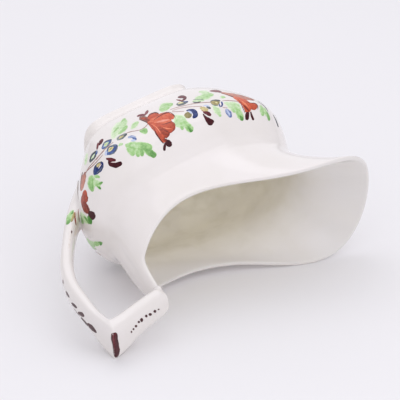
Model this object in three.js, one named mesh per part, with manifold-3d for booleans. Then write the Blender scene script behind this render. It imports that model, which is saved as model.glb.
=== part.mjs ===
import * as THREE from "three";
import { mergeVertices } from "three/addons/utils/BufferGeometryUtils.js";
import Module from "manifold-3d";

// Small footed cream jug with a boat shaped mouth, a broad lip and an angular strap handle.
// Millimetres. It stands on its foot: +Z up, handle towards +X, lip towards -X, mirrored in Y.

// Foot ring, an oblong with rounded ends.
const FOOT_LENGTH = 56;
const FOOT_WIDTH = 52;
const FOOT_HEIGHT = 4.5;
const FOOT_WALL = 3.6;
const FOOT_TAPER = 0.9; // how far the outer wall leans in on its way up
const FOOT_CENTRE_X = 3.5;
const FOOT_SQUARE = 0.115; // 0 is an ellipse, larger is squarer

// Shoulder, the widest level of the belly.
const SHOULDER_LENGTH = 104;
const SHOULDER_WIDTH = 73.5;
const SHOULDER_HEIGHT = 32;
const SHOULDER_SQUARE = 0.02;

// Neck, the waist under the mouth. It climbs towards the lip.
const NECK_LENGTH = 94;
const NECK_WIDTH = 55.5;
const NECK_HEIGHT = 50;
const NECK_CLIMB = 5;
const NECK_CENTRE_X = 2.5;
const NECK_SQUARE = 0.02;

// Mouth edge seen from above, and its height at the back, at each quarter and at the lip.
const MOUTH_BACK_X = 50.5;
const MOUTH_LIP_X = -63.4;
const MOUTH_WIDTH = 52.6;
const MOUTH_LIP_BROADENING = 3;
const MOUTH_SQUARE = 0.15;
const RIM_HEIGHTS = [72.5, 62.6, 73.2, 85.2, 82.6];
const TONGUE_RISE = 18.6; // the rim sweeps up by this much to meet the handle
const TONGUE_HALF_WIDTH = 8.2;

// Wall of the body.
const WALL = 2.8;
const LIP_WALL = 2.4;
const FLOOR = 4;

// Strap handle. Points are [x, z] in the jug's middle plane.
const LEG_OUTER = [
  [41, 9],
  [50, 18],
  [58.6, 28],
  [66.9, 39.3],
  [73.6, 49.6],
  [77.7, 59.6],
  [79.6, 70],
  [79.6, 82],
  [78.4, 97.4],
];
const LEG_INNER = [
  [39, 26],
  [47.5, 26.5],
  [54.4, 32],
  [62, 41.8],
  [68.3, 52],
  [72.1, 61.2],
  [73.8, 70.5],
  [74.7, 81],
  [75.3, 89.6],
];
const LEG_HALF_WIDTHS = [6.4, 6.2, 5.8, 5.5, 5.5, 5.6, 5.8, 6.4, 8.9];
const STRAP_OUTER = [
  [78.4, 97.4],
  [70.4, 96],
  [62, 94],
  [54, 92.2],
  [46, 91],
];
const STRAP_INNER = [
  [75.3, 89.6],
  [69.6, 88.1],
  [62, 86.2],
  [54, 84.9],
  [46, 84.4],
];
const STRAP_HALF_WIDTHS = [8.9, 7.9, 7.5, 7.2, 7];
const STRAP_SQUARENESS = 3; // 2 is an ellipse, larger is nearer a rectangle

const JOINT_GAP = 0.3; // clearance between the handle's ends and the curved body

const wasm = await Module();
wasm.setup();

const add = (a, b) => a.map((v, i) => v + b[i]);
const sub = (a, b) => a.map((v, i) => v - b[i]);
const scale = (a, k) => a.map((v) => v * k);
const length = (a) => Math.hypot(...a);
const unit = (a) => scale(a, 1 / length(a));
const cross = (a, b) => [
  a[1] * b[2] - a[2] * b[1],
  a[2] * b[0] - a[0] * b[2],
  a[0] * b[1] - a[1] * b[0],
];
const mix = (a, b, u) => a + (b - a) * u;

// Angles round the body, closer together at the back where the tongue rises. 0 faces the handle.
function angles() {
  const degrees = [];
  for (let d = -24; d < 24; d += 2) degrees.push(d);
  for (let d = 24; d < 336; d += 6) degrees.push(d);
  return degrees.map((d) => (d * Math.PI) / 180);
}

// One point of an oblong outline.
function oblong(angle, long, wide, square, centreX, z) {
  const x = (Math.cos(angle) - square * Math.cos(3 * angle)) / (1 - square);
  const y = (Math.sin(angle) + square * Math.sin(3 * angle)) / (1 - square);
  return [centreX + (long / 2) * x, (wide / 2) * y, z];
}

// Smooth even curve round the mouth through the five heights at 0, 45, 90, 135 and 180 degrees.
function rimHeight(angle) {
  const last = RIM_HEIGHTS.length - 1;
  let sum = 0;
  for (let k = 0; k <= last; k++) {
    let weight = 0;
    RIM_HEIGHTS.forEach((h, i) => {
      const edge = i === 0 || i === last ? 0.5 : 1;
      weight += edge * h * Math.cos((Math.PI * k * i) / last);
    });
    const half = k === 0 || k === last ? 0.5 : 1;
    sum += ((half * 2) / last) * weight * Math.cos(k * angle);
  }
  return sum;
}

// One point of the mouth's outer edge: fuller towards the lip, with a tongue at the back.
function mouth(angle) {
  const c = Math.cos(angle);
  const middle = (MOUTH_BACK_X + MOUTH_LIP_X) / 2;
  const reach = (MOUTH_BACK_X - MOUTH_LIP_X) / 2;
  const along = (c + 0.05 * Math.cos(3 * angle)) / 1.05;
  const x = middle + reach * along + 2 * (Math.cos(2 * angle) - 1);
  const across = Math.sin(angle) + MOUTH_SQUARE * Math.sin(3 * angle);
  const y =
    ((MOUTH_WIDTH / 2) * across) / (1 - MOUTH_SQUARE) -
    MOUTH_LIP_BROADENING * Math.sin(2 * angle);
  const back = 1 / (1 + Math.exp(-12 * c));
  const tongue = TONGUE_RISE * Math.exp(-((y / TONGUE_HALF_WIDTH) ** 4)) * back;
  return [x, y, rimHeight(angle) + tongue];
}

function hermite(a, leaving, b, arriving, u) {
  const u2 = u * u;
  const u3 = u2 * u;
  return a.map(
    (v, i) =>
      (2 * u3 - 3 * u2 + 1) * v +
      (u3 - 2 * u2 + u) * leaving[i] +
      (3 * u2 - 2 * u3) * b[i] +
      (u3 - u2) * arriving[i],
  );
}

// Outer surface. Level runs 0 at the foot, 1 at the shoulder, 2 at the neck, 3 at the rim.
function outer(angle, level) {
  const foot = oblong(
    angle,
    FOOT_LENGTH - 2 * FOOT_TAPER,
    FOOT_WIDTH - 2 * FOOT_TAPER,
    FOOT_SQUARE,
    FOOT_CENTRE_X,
    FOOT_HEIGHT,
  );
  const shoulder = oblong(
    angle,
    SHOULDER_LENGTH,
    SHOULDER_WIDTH,
    SHOULDER_SQUARE,
    0,
    SHOULDER_HEIGHT,
  );
  const neckHeight = NECK_HEIGHT - NECK_CLIMB * Math.cos(angle);
  const neck = oblong(
    angle,
    NECK_LENGTH,
    NECK_WIDTH,
    NECK_SQUARE,
    NECK_CENTRE_X,
    neckHeight,
  );
  const rim = mouth(angle);
  const spread = sub(shoulder, foot);
  const rise = sub(rim, neck);
  const footTangent = [1.35 * spread[0], 1.35 * spread[1], 8];
  const shoulderTangent = [0, 0, SHOULDER_HEIGHT - FOOT_HEIGHT];
  const neckTangent = [
    0.4 * (neck[0] - shoulder[0]),
    0.4 * (neck[1] - shoulder[1]),
    0.45 * (rim[2] - shoulder[2]),
  ];
  const rimTangent = [1.45 * rise[0], 1.45 * rise[1], 0.9 * rise[2]];
  if (level < 1)
    return hermite(foot, footTangent, shoulder, shoulderTangent, level);
  if (level < 2)
    return hermite(shoulder, shoulderTangent, neck, neckTangent, level - 1);
  return hermite(neck, neckTangent, rim, rimTangent, level - 2);
}

// Outward direction of the outer surface.
function outward(angle, level) {
  const step = 1e-3;
  const low = Math.max(0, level - step);
  const high = Math.min(3, level + step);
  const along = sub(outer(angle + step, level), outer(angle - step, level));
  const up = sub(outer(angle, high), outer(angle, low));
  return unit(cross(along, up));
}

function wall(level) {
  return level < 2 ? WALL : mix(WALL, LIP_WALL, level - 2);
}

// Closed skin over rings of equal count, each end closed by a fan. Rings run anticlockwise.
function skin(rings) {
  const count = rings[0].length;
  const vertices = rings.flat();
  const middle = (ring) =>
    scale(ring.reduce((s, p) => add(s, p), [0, 0, 0]), 1 / count);
  vertices.push(middle(rings[0]), middle(rings[rings.length - 1]));
  const first = vertices.length - 2;
  const last = vertices.length - 1;
  const faces = [];
  for (let r = 0; r < rings.length - 1; r++) {
    for (let i = 0; i < count; i++) {
      const j = (i + 1) % count;
      const a = r * count + i;
      const b = r * count + j;
      faces.push(a, b, b + count, a, b + count, a + count);
    }
  }
  const top = (rings.length - 1) * count;
  for (let i = 0; i < count; i++) {
    const j = (i + 1) % count;
    faces.push(first, j, i, last, top + i, top + j);
  }
  const geometry = new THREE.BufferGeometry();
  const position = new THREE.Float32BufferAttribute(vertices.flat(), 3);
  geometry.setAttribute("position", position);
  geometry.setIndex(faces);
  return geometry;
}

// Rounded top edge of the wall at one angle, from the outer side over to the inner side.
function lipEdge(angle, steps) {
  const step = 1e-3;
  const normal = outward(angle, 3);
  const along = unit(sub(mouth(angle + step), mouth(angle - step)));
  const up = unit(cross(normal, along));
  const centre = sub(mouth(angle), scale(normal, LIP_WALL / 2));
  const points = [];
  for (let i = 1; i < steps; i++) {
    const turn = (Math.PI * i) / steps;
    const side = scale(normal, (LIP_WALL / 2) * Math.cos(turn));
    const lift = scale(up, (LIP_WALL / 2) * Math.sin(turn));
    points.push(add(centre, add(side, lift)));
  }
  return points;
}

// Hollow body: outside from the foot to the rim, over the lip, and down the inside to the floor.
function bodyGeometry() {
  const around = angles();
  const rings = [];
  const levels = [];
  for (let level = 0; level <= 3.0001; level += 0.125)
    levels.push(Math.min(level, 3));
  levels.forEach((level) => rings.push(around.map((a) => outer(a, level))));
  const edges = around.map((a) => lipEdge(a, 4));
  for (let i = 0; i < 3; i++) rings.push(edges.map((edge) => edge[i]));
  const floorLevel = 0.25;
  levels
    .filter((level) => level >= floorLevel)
    .reverse()
    .forEach((level) =>
      rings.push(
        around.map((a) =>
          sub(outer(a, level), scale(outward(a, level), wall(level))),
        ),
      ),
    );
  const lowest = rings[rings.length - 1];
  [0.8, 0.5].forEach((share) =>
    rings.push(
      lowest.map(([x, y, z]) => [
        mix(FOOT_CENTRE_X, x, share),
        y * share,
        mix(FOOT_HEIGHT + FLOOR, z, share ** 4),
      ]),
    ),
  );
  return skin(rings);
}

// Solid that fills the jug's outside grown by the joint gap, open upwards, to cut the handle.
function bodyCutter() {
  const around = angles();
  const rings = [];
  for (let level = 0; level <= 3.0001; level += 0.125) {
    const l = Math.min(level, 3);
    rings.push(
      around.map((a) => add(outer(a, l), scale(outward(a, l), JOINT_GAP))),
    );
  }
  const rim = rings[rings.length - 1];
  const above = Math.max(...rim.map((p) => p[2])) + 20;
  rings.push(rim.map(([x, y]) => [x, y, above]));
  return skin(rings);
}

// Foot ring: leaning outer wall, flat top and base, and a recess inside.
function footGeometry() {
  const around = angles();
  const ring = (inset, z) =>
    around.map((a) =>
      oblong(
        a,
        FOOT_LENGTH - 2 * inset,
        FOOT_WIDTH - 2 * inset,
        FOOT_SQUARE,
        FOOT_CENTRE_X,
        z,
      ),
    );
  const rings = [
    ring(FOOT_WALL, 0),
    ring(0.4, 0),
    ring(0, 0.4),
    ring(FOOT_TAPER, FOOT_HEIGHT),
    ring(FOOT_WALL + 0.6, FOOT_HEIGHT),
  ];
  return loop(rings);
}

// Closed skin whose last ring joins its first, for a ring shaped solid.
function loop(rings) {
  const count = rings[0].length;
  const faces = [];
  rings.forEach((ring, r) => {
    const next = (r + 1) % rings.length;
    for (let i = 0; i < count; i++) {
      const j = (i + 1) % count;
      const a = r * count + i;
      const b = r * count + j;
      const c = next * count + j;
      const d = next * count + i;
      faces.push(a, b, c, a, c, d);
    }
  });
  const geometry = new THREE.BufferGeometry();
  const position = new THREE.Float32BufferAttribute(rings.flat(2), 3);
  geometry.setAttribute("position", position);
  geometry.setIndex(faces);
  return geometry;
}

// Smooth curve through points of any size, as evenly timed samples.
function through(points, perSpan) {
  const at = (i) => points[Math.min(Math.max(i, 0), points.length - 1)];
  const samples = [];
  for (let i = 0; i < points.length - 1; i++) {
    const leaving = scale(sub(at(i + 1), at(i - 1)), 0.5);
    const arriving = scale(sub(at(i + 2), at(i)), 0.5);
    for (let s = 0; s < perSpan; s++)
      samples.push(hermite(at(i), leaving, at(i + 1), arriving, s / perSpan));
  }
  samples.push(points[points.length - 1]);
  return samples;
}

// Rounded strap section between an outer and an inner edge point.
function strapSection([outerX, outerZ, innerX, innerZ, halfWidth]) {
  const steps = 24;
  const bulge = (v) => Math.sign(v) * Math.abs(v) ** (2 / STRAP_SQUARENESS);
  const points = [];
  for (let i = 0; i < steps; i++) {
    const turn = (-2 * Math.PI * i) / steps;
    const share = 0.5 + 0.5 * bulge(Math.sin(turn));
    const y = halfWidth * bulge(Math.cos(turn));
    points.push([mix(innerX, outerX, share), y, mix(innerZ, outerZ, share)]);
  }
  return points;
}

// Handle: up the leg, round the sharp corner and along the strap to the rim.
function handleGeometry() {
  const stations = (outerEdge, innerEdge, widths) =>
    outerEdge.map((p, i) => [...p, ...innerEdge[i], widths[i]]);
  const leg = through(stations(LEG_OUTER, LEG_INNER, LEG_HALF_WIDTHS), 3);
  const strap = through(
    stations(STRAP_OUTER, STRAP_INNER, STRAP_HALF_WIDTHS),
    4,
  );
  return skin([...leg, ...strap.slice(1)].map(strapSection));
}

function solid(geometry) {
  const bare = geometry.clone();
  bare.deleteAttribute("normal");
  bare.deleteAttribute("uv");
  const merged = mergeVertices(bare, 1e-4);
  return new wasm.Manifold(
    new wasm.Mesh({
      numProp: 3,
      vertProperties: merged.attributes.position.array,
      triVerts: new Uint32Array(merged.index.array),
    }),
  );
}

function fromSolid(made) {
  const mesh = made.getMesh();
  const geometry = new THREE.BufferGeometry();
  const position = new THREE.BufferAttribute(mesh.vertProperties, 3);
  geometry.setAttribute("position", position);
  geometry.setIndex(new THREE.BufferAttribute(mesh.triVerts, 1));
  return geometry;
}

const group = new THREE.Group();

function piece(name, geometry, colour, roughness) {
  const material = new THREE.MeshStandardMaterial({
    color: colour,
    roughness,
    metalness: 0,
  });
  geometry.computeVertexNormals();
  const mesh = new THREE.Mesh(geometry, material);
  mesh.name = name;
  group.add(mesh);
}

const handle = solid(handleGeometry()).subtract(solid(bodyCutter()));

piece("body", bodyGeometry(), "#f0ece8", 0.12);
piece("foot_ring", footGeometry(), "#efebe6", 0.16);
piece("handle", fromSolid(handle), "#f1ede9", 0.12);

// The origin is on the ground at the middle of the jug's whole length.
const extent = new THREE.Box3().setFromObject(group, true);
group.position.x = -(extent.min.x + extent.max.x) / 2;

export default group;
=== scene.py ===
import bpy
import numpy as np
from mathutils import Matrix


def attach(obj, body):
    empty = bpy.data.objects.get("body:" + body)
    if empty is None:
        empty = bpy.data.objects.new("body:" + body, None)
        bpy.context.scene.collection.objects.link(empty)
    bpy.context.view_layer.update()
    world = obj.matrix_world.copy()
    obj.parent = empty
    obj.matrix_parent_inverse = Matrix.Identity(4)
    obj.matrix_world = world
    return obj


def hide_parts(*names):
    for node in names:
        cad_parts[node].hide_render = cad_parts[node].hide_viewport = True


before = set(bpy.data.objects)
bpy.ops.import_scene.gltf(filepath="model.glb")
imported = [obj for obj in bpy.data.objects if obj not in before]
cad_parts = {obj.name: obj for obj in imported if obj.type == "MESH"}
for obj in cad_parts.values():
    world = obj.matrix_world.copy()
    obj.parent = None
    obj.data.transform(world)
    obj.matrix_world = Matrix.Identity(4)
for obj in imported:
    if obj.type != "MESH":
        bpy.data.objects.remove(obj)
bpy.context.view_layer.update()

# Small boat shaped cream jug, moulded in pale clay, glazed white and painted over the glaze. It lies on
# its side on a pale table. Shapes are worked out in millimetres in the jug's upright frame.

MM = 0.001
PART_CENTRE_X = -8.0  # moves the shape's own middle to the middle of the whole jug

# Camera: place in mm, its own right and up directions, and its lens and film width in mm.
CAMERA_PLACE = (284.78, -500.03, 486.63)
CAMERA_RIGHT = (-0.8218, 0.02164, 0.56937)
CAMERA_UP = (-0.40496, -0.72514, -0.55694)
CAMERA_LENS, FILM_WIDTH = 148.886, 36

# The table top touches the handle's corner, the belly and the rim on the jug's far side.
TABLE_NORMAL = (-0.1519, -0.9525, -0.2638)
TABLE_DISTANCE, TABLE_REACH = 44.0, 3000.0

# Foot ring. The squareness of an outline is the share of its third harmonic.
FOOT_LENGTH, FOOT_WIDTH, FOOT_HEIGHT = 56.0, 52.0, 4.5
FOOT_WALL, FOOT_TAPER, FOOT_CENTRE_X, FOOT_SQUARE = 3.6, 0.9, 3.5, 0.115
FOOT_TOE, FOOT_BEVEL, FOOT_SPREAD = 0.8, 0.35, 0.6  # the edge it stands on, and how its inside leans
FOOT_SLIP, FOOT_SLIP_CORNER, FOOT_SLIP_SINK = 0.78, 0.02, 0.04  # the slip that joins it to the body

# Outlines of the body at its shoulder, its neck and its mouth.
SHOULDER_LENGTH, SHOULDER_WIDTH, SHOULDER_HEIGHT, SHOULDER_SQUARE = 104.0, 73.5, 32.0, 0.02
NECK_LENGTH, NECK_WIDTH, NECK_HEIGHT = 94.0, 55.5, 50.0
NECK_CLIMB, NECK_CENTRE_X, NECK_SQUARE = 5.0, 2.5, 0.02
MOUTH_BACK_X, MOUTH_LIP_X, MOUTH_WIDTH, MOUTH_SQUARE = 50.5, -63.4, 52.6, 0.15
MOUTH_BLUNT, MOUTH_SIDES_SHIFT, MOUTH_LIP_BROADENING = 0.05, 4.0, 3.0  # the sides stand nearer the lip
LIP_CORNER, LIP_CORNER_SLANT = 0.8, 0.6  # mm across, and the share along: the lip is squarer towards -y
LIP_CORNER_AT, LIP_CORNER_REACH = 3.47, 0.17  # radians
RIM_HEIGHTS = (72.5, 62.6, 73.2, 85.2, 82.6)
TONGUE_RISE, TONGUE_HALF_WIDTH, TONGUE_ONSET = 17.0, 7.4, 12.0

# How the wall leans and climbs where it leaves the foot, at its neck and at the rim.
FOOT_LEAN, FOOT_CLIMB = 1.35, 8.0
NECK_LEAN, NECK_RISE = 0.4, 0.45
RIM_LEAN, RIM_RISE, RIM_FLARE = 1.45, 0.9, 3.6
BACK_TURN, BACK_SWELL = 8.0, 8.0  # the back leans in above the neck, and swells again under the rim

WALL, LIP_WALL, FLOOR = 2.8, 2.0, 4.0
SOFTNESS, SOFT_FROM, SOFT_TO = 0.45, 0.5, 2.6  # how far the inside cuts its corners, between two levels
INSIDE_ENDS = 0.24  # the level at which the inside turns into the floor
# Past the rim the same value also paints shade, greyer just inside, and paints light, paler further down.
POOL_AND_SHADE_AT_RIM, POOL_AND_SHADE_FULL_BELOW, POOL_AND_SHADE_LESS_AT_LIP = 0.1, 60.0, 0.55  # glaze pools in full 60 mm down

# Handle stations: outer edge x, z, inner edge x, z and half the strap's width.
LEG = (
    (41, 9, 39, 26, 6.4), (50.2, 17.8, 47.6, 26.4, 6.2), (59, 27.6, 54.8, 31.6, 5.8),
    (67.6, 38.9, 62.7, 41.4, 5.5), (74.3, 49.2, 69, 51.6, 5.5), (78.2, 59.4, 72.6, 61, 5.6),
    (79.6, 70, 73.8, 70.5, 5.8), (79.6, 82, 74.7, 81, 6.4), (78.4, 97.4, 75.3, 89.6, 8.9),
)
STRAP = (
    (78.4, 97.4, 75.3, 89.6, 8.9), (70.4, 96, 69.6, 88.1, 7.9), (62, 94, 62, 86.2, 7.5),
    (54, 92.2, 54, 84.9, 7.2), (46, 91, 46, 84.4, 7.0),
)
STATION_SPANS, STATION_BLUR = 40, 0.27  # points from station to station, and mm that soften its bends
HANDLE_STEP, HANDLE_COLUMNS, HANDLE_ROWS = 0.25, 84, 420
HANDLE_THICK = 0.49  # the share of its thickness that lies on each side of its middle
HANDLE_SKIN_SINK = 0.12  # mm off its sides
STRAP_SQUARENESS, CORNER_REACH = 3.0, 7.0
CORNER_SQUARENESS_NEAR, CORNER_SQUARENESS_FAR = 4.2, 16.0  # the side towards -y is worn rounder
LEG_BULGE, LEG_BULGE_AT, LEG_BULGE_REACH = 0.7, -10.0, 7.0  # mm from the corner: the far side's broader leg
CORNER_SOFTNESS, CORNER_WEAR_REACH = 1.1, 9.0  # mm of wear at the corner's inner side
STRAP_TAPER, TAPER_FROM, TAPER_REACH, TAPER_ROUND = 0.62, 0.5, 4.1, 0.92  # it narrows over the rim
CUT_AT_BELLY = -0.3  # how far the handle runs on inside the wall, at the belly and at the rim
CUT_AT_RIM, CUT_SIDES, CUT_TOP = -2.45, 0.4, 0.7
SLIP_FILLET, SLIP_AT_RIM = 1.6, 0.8  # the slip that was smoothed round the handle's ends
END_ROUND, END_DEPTH = 1.7, 0.9  # how the strap's end is rounded over the rim
HANDLE_ROW_MM, HANDLE_COLUMN_MM = 0.2756, 0.4838  # mean steps between the skin's rows and its columns

COLUMNS, LIP_ROWS, FLOOR_ROWS = 360, 10, 10
LEVEL_STEPS = 100  # rows of the wall, and three times as many in its chart
CHART_FROM, CHART_TO, CHART_STEP = -26, 40, 0.5  # mm up the wall from the shoulder
SKIN_SINK = 0.08  # the glaze lies this far inside the solid, so that paint on it stays within
SHARP = np.radians(50)  # steeper edges than this stay sharp

# A stroke of enamel: mm above the glaze, for each layer below it, over its crown, and at its sunken edge.
STROKE_LIFT, LAYER_LIFT, CROWN_LIFT, EDGE_LIFT = 0.012, 0.006, 0.035, -0.03
STROKE_STEP, FINE_STROKE = 0.45, 0.9  # mm between its rows, and the width below which it has fewer columns
SLOW_WAVER, QUICK_WAVER, LOAD_SPREAD = 0.06, 0.05, 0.06  # how its edges wander, and how loads differ

# Patterns in the glaze, sizes in mm: thinner places, stains, pinholes and a faint wave of the surface.
THIN_SIZE, STAIN_SIZE, PINHOLE_APART, WAVE_SIZE = 18.18, 8.333, 23.81, 9.091
PINHOLE_DARK, PINHOLE_EDGE = 0.381, 0.714
WATER_SIZE = 1.4286  # mm between the watery and the loaded places of an enamel stroke
TIP_LOAD, WATER_LOAD, WATER_MIDDLE = 0.22, 0.9, 0.56

DAYLIGHT = "#fbfaff"
SKY_DIFFUSE, SKY_GLOSS, SKY_BEHIND = 0.98, 0.42, 0.93
JUG_MIDDLE = (-4.0, 0.0, 45.0)


def oblong(angle, long, wide, square, centre_x, z):
    """An ellipse plus its third harmonic, which squares it, at height z."""
    x = (np.cos(angle) - square * np.cos(3 * angle)) / (1 - square)
    y = (np.sin(angle) + square * np.sin(3 * angle)) / (1 - square)
    return np.stack([centre_x + long / 2 * x, wide / 2 * y, z + 0 * angle], -1)


def foot_outline(angle, inset, z):
    """The foot's oblong at height z, drawn in by inset on all sides."""
    return oblong(angle, FOOT_LENGTH - 2 * inset, FOOT_WIDTH - 2 * inset, FOOT_SQUARE, FOOT_CENTRE_X, z)


def shoulder_outline(angle):
    """The body's broadest oblong."""
    return oblong(angle, SHOULDER_LENGTH, SHOULDER_WIDTH, SHOULDER_SQUARE, 0, SHOULDER_HEIGHT)


def rim_height(angle):
    """The even cosine series through the rim's heights at 0, 45, 90, 135 and 180 degrees."""
    heights = np.array(RIM_HEIGHTS)
    last = len(heights) - 1
    ends = np.ones(last + 1)
    ends[[0, last]] = 0.5
    steps = np.arange(last + 1)
    weights = (ends * heights * np.cos(np.pi * np.outer(steps, steps) / last)).sum(1)
    return sum(ends[k] * 2 / last * weights[k] * np.cos(k * angle) for k in steps)


def mouth(angle):
    """The rim's outer edge: an oblong drawn out and broadened towards the lip, plus a tongue at the back.

    The tongue is a bump of exp(-(y / w)^4), let in by a smooth step of the cosine. One corner of the lip is
    pushed out by a bell curve round its angle, most across the jug and in part along it.
    """
    c = np.cos(angle)
    middle = (MOUTH_BACK_X + MOUTH_LIP_X) / 2
    reach = (MOUTH_BACK_X - MOUTH_LIP_X) / 2
    blunt = (c + MOUTH_BLUNT * np.cos(3 * angle)) / (1 + MOUTH_BLUNT)
    x = middle + reach * blunt - MOUTH_SIDES_SHIFT * np.sin(angle) ** 2
    across = (np.sin(angle) + MOUTH_SQUARE * np.sin(3 * angle)) / (1 - MOUTH_SQUARE)
    y = MOUTH_WIDTH / 2 * across - MOUTH_LIP_BROADENING * np.sin(2 * angle)
    tongue = TONGUE_RISE * np.exp(-((y / TONGUE_HALF_WIDTH) ** 4)) / (1 + np.exp(-TONGUE_ONSET * c))
    corner = LIP_CORNER * np.exp((np.cos(angle - LIP_CORNER_AT) - 1) / LIP_CORNER_REACH**2)
    return np.stack([x - LIP_CORNER_SLANT * corner, y - corner, rim_height(angle) + tongue], -1)


def hermite(a, leaving, b, arriving, u):
    """The cubic from a to b with the two given tangents, at u."""
    u = u[..., None]
    u2, u3 = u * u, u * u * u
    first = (2 * u3 - 3 * u2 + 1) * a + (u3 - 2 * u2 + u) * leaving
    return first + (3 * u2 - 2 * u3) * b + (u3 - u2) * arriving


def outer(angle, level):
    """The outside of the body: three cubics, from foot (0) to shoulder (1), neck (2) and rim (3)."""
    angle, level = np.broadcast_arrays(np.asarray(angle, float), np.asarray(level, float))
    foot = foot_outline(angle, FOOT_TAPER, FOOT_HEIGHT)
    shoulder = shoulder_outline(angle)
    neck_z = NECK_HEIGHT - NECK_CLIMB * np.cos(angle)
    neck = oblong(angle, NECK_LENGTH, NECK_WIDTH, NECK_SQUARE, NECK_CENTRE_X, neck_z)
    rim = mouth(angle)
    foot_tangent = FOOT_LEAN * (shoulder - foot)
    foot_tangent[..., 2] = FOOT_CLIMB
    shoulder_tangent = np.zeros_like(foot)
    shoulder_tangent[..., 2] = SHOULDER_HEIGHT - FOOT_HEIGHT
    neck_tangent = NECK_LEAN * (neck - shoulder)
    neck_tangent[..., 2] = NECK_RISE * (rim - shoulder)[..., 2]
    rim_tangent = (rim - neck) * (RIM_LEAN, RIM_LEAN, RIM_RISE)
    rim_tangent[..., 1] += RIM_FLARE * np.sin(angle)
    back = np.clip(np.cos(angle), 0, 1) ** 4
    neck_tangent[..., 0] -= BACK_TURN * back
    rim_tangent[..., 0] -= BACK_SWELL * back
    low = hermite(foot, foot_tangent, shoulder, shoulder_tangent, level)
    middle = hermite(shoulder, shoulder_tangent, neck, neck_tangent, level - 1)
    high = hermite(neck, neck_tangent, rim, rim_tangent, level - 2)
    where = level[..., None]
    return np.where(where < 1, low, np.where(where < 2, middle, high))


def unit(v):
    """Each vector divided by its length."""
    return v / np.linalg.norm(v, axis=-1, keepdims=True)


def outward(angle, level):
    """The outside's normal, from small steps round and up."""
    step = 1e-3
    below, above = np.maximum(0, level - step), np.minimum(3, level + step)
    round_ = outer(angle + step, level) - outer(angle - step, level)
    return unit(np.cross(round_, outer(angle, above) - outer(angle, below)))


def offset_in(angle, level):
    """The outside less the wall's thickness along the normal."""
    thick = np.where(level < 2, WALL, WALL + (LIP_WALL - WALL) * (level - 2))
    return outer(angle, level) - outward(angle, level) * (thick + 0 * angle)[..., None]


def inner(angle, level):
    """The inside of the wall, softer than the outside: in part a straight line past shoulder and neck.

    The line's weight is 16 s^2 (1 - s)^2 times the softness, with s from 0 to 1 between its two ends.
    """
    angle, level = np.broadcast_arrays(angle, level)
    share = np.clip((level - SOFT_FROM) / (SOFT_TO - SOFT_FROM), 0, 1)[..., None]
    low, high = offset_in(angle, SOFT_FROM + 0 * level), offset_in(angle, SOFT_TO + 0 * level)
    straight = low * (1 - share) + high * share
    weight = SOFTNESS * (16 * share**2 * (1 - share) ** 2)
    return offset_in(angle, level) * (1 - weight) + straight * weight


def tube(rows, first_pole=None, last_pole=None, ring=False):
    """Points and faces of a closed skin over rows of points.

    Each row closes on itself. The rows end in poles, or close on the first row as a ring.
    """
    count, width = rows.shape[:2]
    points = rows.reshape(-1, 3)
    r, c = np.meshgrid(np.arange(count if ring else count - 1), np.arange(width), indexing="ij")
    right, above = (c + 1) % width, (r + 1) % count
    quads = np.stack([r * width + c, r * width + right, above * width + right, above * width + c], -1)
    faces = quads.reshape(-1, 4).tolist()
    i = np.arange(width)
    j = (i + 1) % width
    if first_pole is not None:
        points = np.vstack([points, first_pole])
        faces += np.stack([0 * i + len(points) - 1, j, i], -1).tolist()
    if last_pole is not None:
        points = np.vstack([points, last_pole])
        top = (count - 1) * width
        faces += np.stack([0 * i + len(points) - 1, top + i, top + j], -1).tolist()
    return points, faces


def shown(name, points, faces):
    """A smooth shaded object at the origin whose vertices are these points, given in mm."""
    mesh = bpy.data.meshes.new(name)
    places = (np.asarray(points) + (PART_CENTRE_X, 0, 0)) * MM
    mesh.from_pydata(places.tolist(), [], faces)
    mesh.shade_smooth()
    made = bpy.data.objects.new(name, mesh)
    bpy.context.collection.objects.link(made)
    return made


def attribute(made, name, values):
    """Keeps one number, or three, at each vertex for the material to read."""
    values = np.asarray(values, np.float32)
    kind = "FLOAT" if values.ndim == 1 else "FLOAT_VECTOR"
    layer = made.data.attributes.new(name, kind, "POINT")
    layer.data.foreach_set("value" if values.ndim == 1 else "vector", values.ravel())


def pooling_and_shade(angles, rim, inside):
    """How far the glaze has pooled, the same value that paints shade just inside the rim and light deeper
    in: it grows evenly with the fall below the rim, more slowly at the lip, so the painted shade reaches
    further there.
    """
    fall = (rim[:, 2] - inside[..., 2]) * (1 - POOL_AND_SHADE_LESS_AT_LIP * np.clip(-np.cos(angles), 0, 1))
    return POOL_AND_SHADE_AT_RIM + (1 - POOL_AND_SHADE_AT_RIM) * np.clip(fall / POOL_AND_SHADE_FULL_BELOW, 0, 1)


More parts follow.
